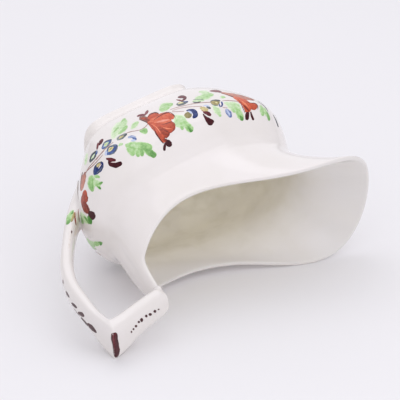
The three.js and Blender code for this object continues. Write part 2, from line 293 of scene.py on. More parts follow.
def body_piece():
    """Outside from foot to rim, half a circle over the lip, the inside, a dished floor, and the underside.

    The floor's rows are the lowest inside row drawn in to s of its size, and they rise by s^4 towards it.
    """
    angles = np.arange(COLUMNS) * 2 * np.pi / COLUMNS
    levels = np.linspace(0, 3, LEVEL_STEPS + 1)
    outside = outer(angles[None, :], levels[:, None])
    outside = outside - SKIN_SINK * outward(angles[None, :], levels[:, None])
    outside[0, :, 2] = FOOT_HEIGHT
    rim = outside[-1]
    normal = outward(angles, np.full(COLUMNS, 3.0))
    along = unit(np.roll(rim, -1, 0) - np.roll(rim, 1, 0))
    up = unit(np.cross(normal, along))
    half = (LIP_WALL - SKIN_SINK) / 2
    turns = np.pi * np.arange(1, LIP_ROWS)[:, None, None] / LIP_ROWS
    lip = rim - half * normal + half * (np.cos(turns) * normal + np.sin(turns) * up)
    down = levels[levels > INSIDE_ENDS][::-1]
    inside = inner(angles[None, :], down[:, None])
    lowest = inside[-1]
    centre = np.array([FOOT_CENTRE_X, 0, FOOT_HEIGHT + FLOOR])
    shares = np.arange(FLOOR_ROWS - 1, 0, -1)[:, None, None] / FLOOR_ROWS
    floor = centre + (lowest - centre) * shares
    floor[..., 2] = centre[2] + (lowest[:, 2] - centre[2]) * shares[..., 0] ** 4
    base = np.array([FOOT_CENTRE_X, 0, FOOT_HEIGHT])
    under = base + (outside[0] - base) * np.array([0.3, 0.6, 0.9])[:, None, None]
    body = shown("jug_body", *tube(np.concatenate([under, outside, lip, inside, floor]), base, centre))
    # depth: 0 outside, rising over the lip and down the inside. It sets the pooled tint and also the painted
    # shade and painted light inside.
    depth = np.concatenate([
        np.zeros((len(under) + len(outside), COLUMNS)),
        np.repeat(np.linspace(0, POOL_AND_SHADE_AT_RIM, len(lip))[:, None], COLUMNS, 1),
        pooling_and_shade(angles, rim, inside),
        np.ones((len(floor), COLUMNS)),
    ])
    attribute(body, "depth", np.r_[depth.ravel(), 0.0, 1.0])
    body.data.set_sharp_from_angle(angle=SHARP)
    return body


def foot_piece():
    """A ring carried round the foot's outline, as insets and heights of its section, and the slip above it.

    The toe is a quarter circle. The slip is the quadratic curve from the section's last point past a corner
    at the top of the foot to a point a little way up the wall, where it ends under the body's glaze.
    """
    angles = np.arange(COLUMNS) * 2 * np.pi / COLUMNS
    toe = FOOT_TOE
    section = [(FOOT_WALL, FOOT_BEVEL), (FOOT_WALL - FOOT_BEVEL, 0.0)]
    section += [(toe - toe * np.sin(t), toe - toe * np.cos(t)) for t in np.linspace(0, np.pi / 2, 5)]
    side = np.linspace(toe, FOOT_HEIGHT, 6)[1:4]
    section += [(SKIN_SINK + FOOT_TAPER * z / FOOT_HEIGHT, z) for z in side]
    rows = [foot_outline(angles, inset, z) for inset, z in section]
    run = np.linalg.norm((shoulder_outline(angles) - foot_outline(angles, 0, 0))[:, :2], axis=-1)
    level = FOOT_SLIP / (FOOT_LEAN * run)
    start, end = rows[-1], outer(angles, level)
    corner = np.array(start)
    corner[:, 2] = FOOT_HEIGHT + FOOT_SLIP_CORNER
    for u in np.linspace(0, 1, 8)[1:]:
        rows.append((1 - u) ** 2 * start + 2 * u * (1 - u) * corner + u * u * end)
    rows[-1] = rows[-1] - (SKIN_SINK + FOOT_SLIP_SINK) * outward(angles, level)
    rows.append(foot_outline(angles, FOOT_WALL + FOOT_SPREAD, FOOT_HEIGHT))
    foot = shown("jug_foot", *tube(np.array(rows), ring=True))
    foot.data.set_sharp_from_angle(angle=SHARP)
    return foot


def curve(points, u):
    """The smooth curve through points, u from 0 to 1: cubics, tangents half the neighbours' difference."""
    p = np.array(points, float)
    padded = np.concatenate([p[:1], p, p[-1:]])
    tangent = (padded[2:] - padded[:-2]) / 2
    x = u * (len(p) - 1)
    i = np.minimum(x.astype(int), len(p) - 2)
    return hermite(p[i], tangent[i], p[i + 1], tangent[i + 1], x - i)


def back_wall(y, z):
    """x of the body's outside at the back, at y and z: Newton steps on angle and level until both match."""
    top_level, step, longest_step = 3.3, 1e-4, 0.1
    levels = np.linspace(0, top_level, 331)
    level = np.interp(z, outer(0 * levels, levels)[:, 2], levels)
    angle = np.arcsin(np.clip(y / (SHOULDER_WIDTH / 2), -0.5, 0.5))
    for _ in range(10):
        at = outer(angle, level)
        by_angle = (outer(angle + step, level) - at) / step
        by_level = (outer(angle, level + step) - at) / step
        miss_y, miss_z = y - at[..., 1], z - at[..., 2]
        det = by_angle[..., 1] * by_level[..., 2] - by_angle[..., 2] * by_level[..., 1]
        turn = (miss_y * by_level[..., 2] - miss_z * by_level[..., 1]) / det
        rise = (miss_z * by_angle[..., 1] - miss_y * by_angle[..., 2]) / det
        angle = angle + np.clip(turn, -longest_step, longest_step)
        level = np.clip(level + np.clip(rise, -longest_step, longest_step), 0, top_level)
    return outer(angle, level)[..., 0]


def bell(reach, width):
    """Weights exp(-(d / width)^2 / 2) that add up to 1, reach handle steps to each side."""
    weights = np.exp(-((np.arange(-reach, reach + 1) * HANDLE_STEP / width) ** 2) / 2)
    return weights / weights.sum()


def handle_line():
    """The smooth curve through the stations in even steps, softened by a bell curve, and the mm along it."""
    leg, strap = (curve(s, np.linspace(0, 1, STATION_SPANS * (len(s) - 1) + 1)) for s in (LEG, STRAP))
    line = np.concatenate([leg, strap[1:]])
    middle = (line[:, :2] + line[:, 2:4]) / 2
    length = np.r_[0, np.cumsum(np.linalg.norm(np.diff(middle, axis=0), axis=1))]
    along = np.arange(0, length[-1], HANDLE_STEP)
    line = np.stack([np.interp(along, length, column) for column in line.T], 1)
    reach = 8
    padded = np.pad(line, ((reach, reach), (0, 0)), mode="reflect", reflect_type="odd")
    soft = bell(reach, STATION_BLUR)
    return np.stack([np.convolve(column, soft, "valid") for column in padded.T], 1), along


def handle_sections(line, along, turn):
    """Sections |cos|^p + |sin|^p = 1 from the inner to the outer edge, with p larger at the corner.

    The leg bulges on its far side by a bell curve below the corner. The strap narrows over the rim as a
    quarter round does. The corner is worn on its inner side and towards -y: there it moves to its own bell
    average along the strap.
    """
    outer_x, outer_z, inner_x, inner_z, half = (column[:, None] for column in line.T)
    from_corner = along[:, None] - along[np.argmax(line[:, 1])]
    far_side = np.cos(turn) > 0
    squareness = np.where(far_side, CORNER_SQUARENESS_FAR, CORNER_SQUARENESS_NEAR)
    at_corner = np.exp(-((from_corner / CORNER_REACH) ** 2))
    power = STRAP_SQUARENESS + (squareness - STRAP_SQUARENESS) * at_corner
    radius = (np.abs(np.cos(turn)) ** power + np.abs(np.sin(turn)) ** power) ** (-1 / power)
    share = 0.5 + HANDLE_THICK * radius * np.sin(turn)
    x = inner_x + (outer_x - inner_x) * share
    z = inner_z + (outer_z - inner_z) * share
    bulge = LEG_BULGE * np.exp(-(((from_corner - LEG_BULGE_AT) / LEG_BULGE_REACH) ** 2))
    y = (half - HANDLE_SKIN_SINK + np.where(far_side, bulge, 0)) * radius * np.cos(turn)
    past = TAPER_FROM - (outer_x + inner_x) / 2 + back_wall(0 * outer_x, (outer_z + inner_z) / 2)
    rounding = 1 - np.sqrt(1 - TAPER_ROUND * np.clip(past / TAPER_REACH, 0, 1) ** 2)
    on_strap = np.arange(len(line))[:, None] > len(line) // 2
    rows = np.stack([x, y * np.where(on_strap, 1 - STRAP_TAPER * rounding, 1), z], -1)
    reach = 16
    padded = np.pad(rows, ((reach, reach), (0, 0), (0, 0)), mode="edge")
    soft = bell(reach, CORNER_SOFTNESS)
    average = sum(weight * padded[k:k + len(rows)] for k, weight in enumerate(soft))
    wear = np.clip(0.6 - 0.8 * np.sin(turn) - 0.5 * np.cos(turn), 0, 1)
    wear = wear * np.exp(-((from_corner / CORNER_WEAR_REACH) ** 2))
    return rows + (average - rows) * wear[..., None]


def handle_rows():
    """Fibres from the belly to the rim, their distance outside the body's wall, and their angles.

    Each fibre of the sections is cut where it has run a little way into the wall, and divided evenly.
    """
    turn = np.arange(HANDLE_COLUMNS) * -2 * np.pi / HANDLE_COLUMNS
    rows = handle_sections(*handle_line(), turn)
    gap = rows[..., 0] - back_wall(rows[..., 1], rows[..., 2])
    index, half_way = np.arange(len(rows))[:, None], len(rows) // 2
    sides, top = np.clip(1 + 4 * np.sin(turn), 0, 1), np.clip(np.sin(turn), 0, 1)
    cut_at_rim = CUT_AT_RIM - CUT_SIDES * sides - CUT_TOP * top
    start = np.where((gap < CUT_AT_BELLY) & (index < half_way), index, 0).max(0)
    finish = np.where((gap < cut_at_rim) & (index > half_way), index, len(rows) - 1).min(0)
    fibre = np.arange(len(turn))
    low, high = gap[start, fibre], gap[start + 1, fibre]
    first = start + np.clip((CUT_AT_BELLY - low) / (high - low), 0, 1)
    low, high = gap[finish - 1, fibre], gap[finish, fibre]
    last = finish - 1 + np.clip((cut_at_rim - low) / (high - low), 0, 1)
    where = first + (last - first) * np.linspace(0, 1, HANDLE_ROWS)[:, None]
    whole = np.minimum(where.astype(int), len(rows) - 2)
    part = where - whole
    even_gap = gap[whole, fibre] * (1 - part) + gap[whole + 1, fibre] * part
    part = part[..., None]
    even_rows = rows[whole, fibre] * (1 - part) + rows[whole + 1, fibre] * part
    return even_rows, even_gap, turn


def grid_normals(rows):
    """Normals of rows of points that close on themselves, from the neighbours on each side."""
    round_ = np.roll(rows, -1, 1) - np.roll(rows, 1, 1)
    return unit(np.cross(round_, np.gradient(rows, axis=0)))


def handle_piece():
    """The fibres, spread by a quarter round of slip where they meet the wall, and rounded over the rim.

    Within the fillet f of the wall they move out by f (1 - sqrt(1 - (1 - gap / f)^2)), at the rim only on
    the inner side. Within e of the strap's end they move in by the like quarter round.
    """
    rows, gap, turn = handle_rows()
    normal = grid_normals(rows)
    near = np.clip(1 - np.clip(gap, 0, None) / SLIP_FILLET, 0, 1)
    spread = SLIP_FILLET * (1 - np.sqrt(1 - near**2))
    inner_side = np.clip((-0.1 - np.sin(turn)) / 0.6, 0, 1)
    inner_side = inner_side * inner_side * (3 - 2 * inner_side)
    spread[len(rows) // 2:] *= SLIP_AT_RIM * inner_side
    rows = rows + normal * spread[..., None]
    step = np.linalg.norm(np.diff(rows, axis=0), axis=-1)
    to_end = np.r_[np.cumsum(step[::-1], 0)[::-1], np.zeros((1, len(turn)))]
    left = np.clip(END_ROUND - to_end, 0, END_ROUND)
    inset = END_ROUND - np.sqrt(np.clip(END_ROUND**2 - left**2, 0, None))
    rows = rows - normal * (END_DEPTH * inset)[..., None]
    root = rows[0].mean(0)
    caps = []
    for share in (0.25, 0.5, 0.75):
        ring = root + (rows[0] - root) * share
        ring[:, 0] = back_wall(ring[:, 1], ring[:, 2]) + CUT_AT_BELLY
        caps.append(ring)
    root[0] = back_wall(root[1:2], root[2:3])[0] + CUT_AT_BELLY
    return shown("jug_handle", *tube(np.concatenate([caps, rows]), root, rows[-1].mean(0))), rows


def wall_chart():
    """Level by angle and by mm up the wall from the shoulder, and mm round the shoulder by angle."""
    angles = np.linspace(0, 2 * np.pi, COLUMNS + 1)
    levels = np.linspace(0, 3, 3 * LEVEL_STEPS + 1)
    steps = np.linalg.norm(np.diff(outer(angles[:, None], levels), axis=1), axis=-1)
    up = np.concatenate([np.zeros((len(angles), 1)), np.cumsum(steps, 1)], 1)
    up = up - up[:, LEVEL_STEPS, None]
    heights = np.arange(CHART_FROM, CHART_TO + CHART_STEP, CHART_STEP)
    table = np.array([np.interp(heights, row, levels) for row in up])
    ring = np.r_[0, np.cumsum(np.linalg.norm(np.diff(outer(angles, 1.0), axis=0), axis=1))]
    return angles, ring, heights, table


def on_wall(round_mm, up_mm, lift):
    """The point at mm round the shoulder from the handle, mm up the wall, and lift mm above the glaze."""
    angles, ring, heights, table = CHART
    angle = np.interp(round_mm % ring[-1], ring, angles)
    i = angle / (2 * np.pi) * (len(angles) - 1)
    j = np.clip((up_mm - heights[0]) / (heights[1] - heights[0]), 0, len(heights) - 1.001)
    i0, j0 = np.minimum(i.astype(int), len(angles) - 2), j.astype(int)
    di, dj = i - i0, j - j0
    level = (table[i0, j0] * (1 - di) + table[i0 + 1, j0] * di) * (1 - dj)
    level += (table[i0, j0 + 1] * (1 - di) + table[i0 + 1, j0 + 1] * di) * dj
    return outer(angle, level) + outward(angle, level) * (lift - SKIN_SINK)[..., None]


def on_handle(along_mm, round_mm, lift):
    """The point at mm up the strap from the belly and mm round it from its far side, lift mm above it."""
    rows, normals = HANDLE_SKIN
    count, width = rows.shape[:2]
    r = np.clip(along_mm / HANDLE_ROW_MM, 0, count - 1.001)
    c = round_mm / HANDLE_COLUMN_MM
    r0, c0 = r.astype(int), np.floor(c).astype(int)
    dr, dc = (r - r0)[..., None], (c - c0)[..., None]
    near, far = c0 % width, (c0 + 1) % width
    both = []
    for grid in (rows, normals):
        low = grid[r0, near] * (1 - dc) + grid[r0, far] * dc
        high = grid[r0 + 1, near] * (1 - dc) + grid[r0 + 1, far] * dc
        both.append(low * (1 - dr) + high * dr)
    return both[0] + unit(both[1]) * lift[..., None]


def brushed(stations, layer, place, chance):
    """One brush stroke of enamel: a flat lens, closed below the glaze, through its stations' two edges.

    With m(u) the middle and h(u) half the width from edge to edge, u along the stroke and v across it, a
    point lies at m + v e h, with e = sqrt(1 - (1 - d / w)^2) within w of an end that is d away, and edges
    that waver by a few hundredths. It stands above the glaze by a lift for its layer and a crown of
    e (1 - v^2).
    """
    s = np.array(stations, float)
    length = np.linalg.norm(np.diff((s[:, :2] + s[:, 2:]) / 2, axis=0), axis=1).sum()
    width = np.linalg.norm(s[:, :2] - s[:, 2:], axis=1).mean()
    count = int(np.clip(length / STROKE_STEP, 10, 90))
    across = 9 if width > FINE_STROKE else 5
    u = (1 - np.cos(np.pi * np.arange(1, count) / count)) / 2
    v = np.linspace(-1, 1, across)
    both = curve(s, u)
    middle, half = (both[:, :2] + both[:, 2:]) / 2, (both[:, 2:] - both[:, :2]) / 2
    half_width = np.linalg.norm(half, axis=1)
    to_end = np.minimum(u, 1 - u) * length
    end = np.sqrt(1 - np.clip(1 - to_end / np.maximum(half_width, 0.05), 0, 1) ** 2)
    a, b, c, d = chance.uniform(0, 2 * np.pi, 4)
    left = 1 + SLOW_WAVER * np.sin(9 * u + a) + QUICK_WAVER * np.sin(26 * u + b)
    right = 1 + SLOW_WAVER * np.sin(10 * u + c) + QUICK_WAVER * np.sin(23 * u + d)
    waver = np.where(v < 0, left[:, None], right[:, None])
    top = middle[:, None] + (v * waver * end[:, None])[..., None] * half[:, None]
    lift = STROKE_LIFT + LAYER_LIFT * layer + CROWN_LIFT * end[:, None] * (1 - v * v)
    flat = np.concatenate([top, middle[:, None]], 1)
    lift = np.concatenate([lift, np.full((len(u), 1), EDGE_LIFT)], 1)
    ends = curve(s, np.array([0.0, 1.0]))
    tips = place(*((ends[:, :2] + ends[:, 2:]) / 2).T, np.zeros(2))
    rows = place(flat[..., 0], flat[..., 1], lift)
    turn = np.cross(rows[-1, 0] - rows[0, 0], rows[count // 2, across - 1] - rows[count // 2, 0])
    out = place(*middle[count // 2], np.array(1.0)) - place(*middle[count // 2], np.array(0.0))
    load = np.stack(np.broadcast_arrays(u[:, None], np.abs(np.r_[v, 0]), 0.0), -1)
    if turn @ out > 0:
        rows = rows[:, ::-1]
        load = load[:, ::-1]
    return rows, tips, load


def painted(name, strokes, place, chance):
    """All strokes of one pigment as one object. Each vertex keeps u, the size of v and the load."""
    points, faces, loads = [], [], []
    start = 0
    for _, tone, layer, stations in strokes:
        rows, tips, load = brushed(stations, layer, place, chance)
        skin, skin_faces = tube(rows, tips[0], tips[1])
        faces += [[start + k for k in face] for face in skin_faces]
        load = np.concatenate([load.reshape(-1, 3), [[0, 0, 0], [1, 0, 0]]])
        load[:, 2] = tone + chance.uniform(-LOAD_SPREAD, LOAD_SPREAD)
        points.append(skin)
        loads.append(load)
        start += len(skin)
    made = shown(name, np.concatenate(points), faces)
    attribute(made, "brush", np.concatenate(loads))
    made.data.set_sharp_from_angle(angle=SHARP)
    return made


def moved(strokes, round_mm, up_mm=0.0):
    """The same strokes, further round the shoulder and up the wall."""
    shift = np.array([round_mm, up_mm, round_mm, up_mm])
    return [(pigment, tone, layer, np.array(stations) + shift) for pigment, tone, layer, stations in strokes]


def linear(code):
    """A colour written as an sRGB hex value, as the linear numbers that a shader takes."""
    parts = np.array([int(code[i:i + 2], 16) for i in (1, 3, 5)]) / 255
    values = np.where(parts <= 0.04045, parts / 12.92, ((parts + 0.055) / 1.055) ** 2.4)
    return (*values, 1.0)


def node(tree, kind, inputs=None, **settings):
    """Adds a shader node with its settings; an input is a value or another node's output."""
    made = tree.nodes.new(kind)
    for name, value in settings.items():
        setattr(made, name, value)
    for name, value in (inputs or {}).items():
        if isinstance(value, bpy.types.NodeSocket):
            tree.links.new(value, made.inputs[name])
        else:
            made.inputs[name].default_value = value
    return made


def new_material(name):
    """An empty material and its node tree."""
    material = bpy.data.materials.new(name)
    material.use_nodes = True
    material.node_tree.nodes.clear()
    return material, material.node_tree


def white_glaze(name, white="#e5e0dd"):
    """Lead glaze on a pale moulded body: a thick clear gloss over warm white, olive where it pools inside.
    Inside, its colour is also painted greyer just under the rim and over the lip, as painted shade, and
    paler further down, as painted light.

    Its tint wanders a little where the clay shows through the thinner glaze. Faint stains lie inside, and
    here and there a pinhole. In the Mix node, 6 and 7 are the colours and output 2 is their mix.
    """
    material, tree = new_material(name)
    place = node(tree, "ShaderNodeTexCoord").outputs["Object"]
    depth = node(tree, "ShaderNodeAttribute", attribute_name="depth").outputs["Fac"]
    pool_and_shade = node(tree, "ShaderNodeValToRGB", {"Fac": depth})
    pool_and_shade.color_ramp.elements[0].color = linear(white)
    pool_and_shade.color_ramp.elements[1].color = linear("#fbf8ec")
    # Painted shade: the greyer stops at 0.07 and 0.17, just under the rim. Painted light: the paler stops
    # further down, over the pooled glaze's cream tint.
    for at, colour in ((0.07, "#d7d4d1"), (0.17, "#e0ddda"), (0.3, "#eeebe5"), (0.5, "#f7f4ea")):
        pool_and_shade.color_ramp.elements.new(at).color = linear(colour)
    cloud = node(tree, "ShaderNodeTexNoise", {
        "Vector": place, "Scale": 1 / (THIN_SIZE * MM), "Detail": 3.0})
    thin = node(tree, "ShaderNodeMapRange", {
        "Value": cloud.outputs["Fac"], "From Min": 0.35, "From Max": 0.65, "To Min": 0.0, "To Max": 0.35})
    blotch = node(tree, "ShaderNodeTexNoise", {
        "Vector": place, "Scale": 1 / (STAIN_SIZE * MM), "Detail": 2.0})
    stain = node(tree, "ShaderNodeMapRange", {
        "Value": blotch.outputs["Fac"], "From Min": 0.5, "From Max": 0.76, "To Min": 0.0, "To Max": 0.45})
    cell = node(tree, "ShaderNodeTexVoronoi", {"Vector": place, "Scale": 1 / (PINHOLE_APART * MM)})
    hole = node(tree, "ShaderNodeMapRange", {
        "Value": cell.outputs["Distance"], "From Min": PINHOLE_DARK / PINHOLE_APART,
        "From Max": PINHOLE_EDGE / PINHOLE_APART, "To Min": 1.0, "To Max": 0.0})
    tint = node(tree, "ShaderNodeMix", {
        0: thin.outputs[0], 6: pool_and_shade.outputs["Color"], 7: linear("#dcd7d0")}, data_type="RGBA")
    for flaw, colour in ((stain, "#cfcab2"), (hole, "#8d887c")):
        inside = node(tree, "ShaderNodeMath", {0: flaw.outputs[0], 1: depth}, operation="MULTIPLY")
        tint = node(tree, "ShaderNodeMix", {
            0: inside.outputs[0], 6: tint.outputs[2], 7: linear(colour)}, data_type="RGBA")
    wave = node(tree, "ShaderNodeTexNoise", {
        "Vector": place, "Scale": 1 / (WAVE_SIZE * MM), "Detail": 1.0})
    bump = node(tree, "ShaderNodeBump", {"Height": wave.outputs["Fac"], "Strength": 0.05, "Distance": MM})
    glaze = node(tree, "ShaderNodeBsdfPrincipled", {
        "Base Color": tint.outputs[2], "Roughness": 0.14, "IOR": 1.52, "Normal": bump.outputs["Normal"]})
    node(tree, "ShaderNodeOutputMaterial", {"Surface": glaze.outputs["BSDF"]})
    return material


def enamel(name, edge, thin, full, deep):
    """Enamel fired on the glaze: watery in the stroke, pooled darker at its tip, its edges paler or darker.

    The load is the stroke's own, plus shares of u and of v^5, plus water marks, less their middle.
    """
    material, tree = new_material(name)
    place = node(tree, "ShaderNodeTexCoord").outputs["Object"]
    brush = node(tree, "ShaderNodeAttribute", attribute_name="brush").outputs["Vector"]
    parts = node(tree, "ShaderNodeSeparateXYZ", {"Vector": brush}).outputs
    rim = node(tree, "ShaderNodeMath", {0: parts["Y"], 1: 5.0}, operation="POWER").outputs[0]
    tip = node(tree, "ShaderNodeMath", {0: parts["X"], 1: TIP_LOAD, 2: parts["Z"]}, operation="MULTIPLY_ADD")
    pooled = node(tree, "ShaderNodeMath", {0: rim, 1: edge, 2: tip.outputs[0]}, operation="MULTIPLY_ADD")
    water = node(tree, "ShaderNodeTexNoise", {
        "Vector": place, "Scale": 1 / (WATER_SIZE * MM), "Detail": 3.0, "Roughness": 0.6})
    uneven = node(tree, "ShaderNodeMath", {
        0: water.outputs["Fac"], 1: WATER_LOAD, 2: pooled.outputs[0]}, operation="MULTIPLY_ADD")
    load = node(tree, "ShaderNodeMath", {0: uneven.outputs[0], 1: WATER_MIDDLE}, operation="SUBTRACT")
    tint = node(tree, "ShaderNodeValToRGB", {"Fac": load.outputs[0]})
    tint.color_ramp.elements[0].color = linear(thin)
    tint.color_ramp.elements[1].color = linear(deep)
    tint.color_ramp.elements.new(0.5).color = linear(full)
    gloss = node(tree, "ShaderNodeBsdfPrincipled", {
        "Base Color": tint.outputs["Color"], "Roughness": 0.28, "IOR": 1.5, "Specular IOR Level": 0.25})
    node(tree, "ShaderNodeOutputMaterial", {"Surface": gloss.outputs["BSDF"]})
    return material


def placed(right, up, back, place):
    """The matrix of an object with these three directions as its axes, at a place in mm."""
    turned = np.eye(4)
    turned[:3] = np.stack([right, up, back, np.array(place) * MM], -1)
    return Matrix(turned.tolist())


def table_top():
    """A flat square at the table's distance, across its normal. It shows from above only.

    It is matt pale board, which gives the eye no more than the jug's soft shadow.
    """
    normal = unit(np.array(TABLE_NORMAL))
    side = unit(np.cross(normal, (0, 0, 1)))
    other = np.cross(normal, side)
    centre = -normal * TABLE_DISTANCE
    signs = ((-1, -1), (1, -1), (1, 1), (-1, 1))
    corners = [centre + TABLE_REACH * (a * side + b * other) for a, b in signs]
    mesh = bpy.data.meshes.new("table")
    mesh.from_pydata((np.array(corners) * MM).tolist(), [], [(0, 1, 2, 3)])
    made = bpy.data.objects.new("table", mesh)
    bpy.context.collection.objects.link(made)
    material, tree = new_material("pale table")
    facing = node(tree, "ShaderNodeNewGeometry").outputs["Backfacing"]
    shadow = node(tree, "ShaderNodeLightPath").outputs["Is Shadow Ray"]
    either = node(tree, "ShaderNodeMath", {0: facing, 1: shadow}, operation="MAXIMUM").outputs[0]
    paint = node(tree, "ShaderNodeBsdfDiffuse", {"Color": linear("#e8e7e8")})
    clear = node(tree, "ShaderNodeBsdfTransparent")
    mixed = node(tree, "ShaderNodeMixShader", {"Fac": either, 1: paint.outputs[0], 2: clear.outputs[0]})
    node(tree, "ShaderNodeOutputMaterial", {"Surface": mixed.outputs[0]})
    mesh.materials.append(material)
    return made


def lamp(name, place, target, size, radiance, only_gloss=False):
    """A square soft lamp of even radiance at a place in mm, aimed at a target."""
    light = bpy.data.lights.new(name, "AREA")
    light.energy = radiance * np.pi * (size * MM) ** 2
    light.size = size * MM
    light.color = linear(DAYLIGHT)[:3]
    made = bpy.data.objects.new(name, light)
    towards = unit(place - target)
    side = unit(np.cross((0.1, 0.2, 1), towards))
    made.matrix_world = placed(side, np.cross(towards, side), towards, place)
    made.visible_camera = False
    made.visible_diffuse = not only_gloss
    bpy.context.collection.objects.link(made)


# Brush strokes on the body: pigment, load from 0 watery to 1 thick, layer, and stations from end to end.
# A station is the stroke's two edges, each as mm round the shoulder from the handle and mm up the wall.
# The flower and leaves next to the handle
FLOWER_A = (
    ("rose", 0.5, 1, ((274.4, -10.2, 271.7, -6.4), (271, -13.5, 266.9, -7.6), (266.3, -12.2, 265, -10.1))),
    ("rose", 0.9, 2, ((267.7, -11.4, 266.8, -10.1), (266.7, -12.4, 265.4, -10.2),
      (265.4, -11.9, 264.8, -10.9))),
    ("line", 0.6, 2, ((273.3, -9.3, 272.7, -8.5), (271.2, -13.3, 270, -11.8), (268.2, -15, 267.5, -14.1))),
    ("red", 0.75, 2, ((268.8, -3.5, 270.5, -5.9), (270.9, -0.3, 274.7, -6), (274.7, -0.5, 277.5, -4.9))),
    ("line", 0.6, 4, ((271.9, -5.6, 272.2, -5.9), (272, -2.3, 272.4, -2.8), (274.8, -2, 275, -2.3))),
    ("red", 0.95, 3, ((273.2, -3.5, 275.7, -5.9), (273.5, 1, 277.6, -2.7), (275.4, 3.7, 278.1, 1.5))),
    ("line", 0.8, 4, ((274, -1.4, 274.3, -1.7), (274.5, 1.2, 275, 0.8), (275.5, 3.1, 275.8, 2.8))),
    ("maroon", 1, 4, ((274.8, 2.9, 276.7, 1.9), (273.3, 6, 278.6, 3.8), (273.5, 7.8, 277.7, 6.5))),
    ("green", 0.57, 1, ((260.8, -3, 263.8, -7.5), (263.2, -0.4, 266.6, -5.1), (266.3, 1.2, 267.5, -0.3))),
    ("green", 0.5, 2, ((261.8, -2.2, 264, -2.7), (261, 1.2, 264.2, 0.1), (262.1, 3, 263.7, 2.3))),
    ("green", 0.8, 3, ((262.5, 0.7, 262.8, 1.7), (261.4, 1.3, 261.7, 2.6), (260.3, 2.1, 260.4, 2.9))),
    ("green", 0.9, 3, ((263, 1.5, 263.7, 1.3), (262.6, 2.7, 263.8, 2.6), (262.7, 3.8, 263.4, 3.8))),
    ("green", 0.52, 2, ((261.4, -3.9, 262, -2.9), (259.9, -2.4, 261.1, -1.4), (259.5, -0.3, 260.3, 0))),
    ("green", 0.65, 3, ((262.4, -3.3, 262.9, -4), (263.8, -1.5, 264.7, -2.8), (265.6, 0, 266, -0.6))),
    ("green", 0.17, 1, ((260.2, -18.7, 262.3, -21.4), (261.4, -15.6, 264.3, -19.5),
      (263.5, -14, 265.2, -16.3))),
    ("green", 0.32, 1, ((279.3, -2.6, 281.3, -4.5), (279, 1.7, 283.1, -1.8), (280.6, 4.1, 283.4, 1.9))),
    ("green", 1, 3, ((277.2, 3.2, 278.8, 1.9), (277.2, 5.7, 280.5, 3.2), (279.3, 6.4, 281, 5))),
    ("green", 0.85, 3, ((279.8, 0, 280.9, -0.8), (279.7, 2.6, 281.5, 1.4), (280.3, 5, 281.7, 4.1))),
    ("green", 0.6, 2, ((281.2, -3.2, 283, -5), (282.1, -1, 285.4, -4.3), (283.8, 0.6, 286.5, -2))),
    ("line", 0.1, 1, ((1.9, -4.6, 2.5, -5.4), (3.9, -3, 5.5, -4.9), (8.4, -3.4, 8.3, -3.6))),
    ("green", 0.52, 1, ((5.7, 0.9, 8.4, -1.4), (5.7, 3.7, 11.8, -1.3), (7.1, 5.1, 14.3, -0.6),
      (9, 6.2, 12.1, 4))),
    ("green", 0.52, 2, ((5.8, 2.6, 10.6, -0.6), (3.8, 6.1, 9.5, 2.7), (5, 8.3, 10.1, 4.9))),
    ("green", 0.5, 2, ((5.1, 5.5, 8, 5.2), (2.8, 8.3, 6.9, 7.9), (1.5, 11, 5.7, 10))),
    ("green", 0.85, 3, ((2, 9.7, 3.5, 9), (1.1, 11.9, 4.1, 10), (4.3, 11.3, 5.5, 10.1))),
    ("green", 0.8, 3, ((13.1, 0.8, 14.5, 0), (9.7, 5, 11.7, 3.8), (9, 7.1, 9.6, 6.9))),
    ("line", 0.3, 1, ((14.7, 2.4, 15.9, 1.5), (13.6, 5.7, 15.8, 4), (14.2, 7.7, 14.7, 7.2))),
)
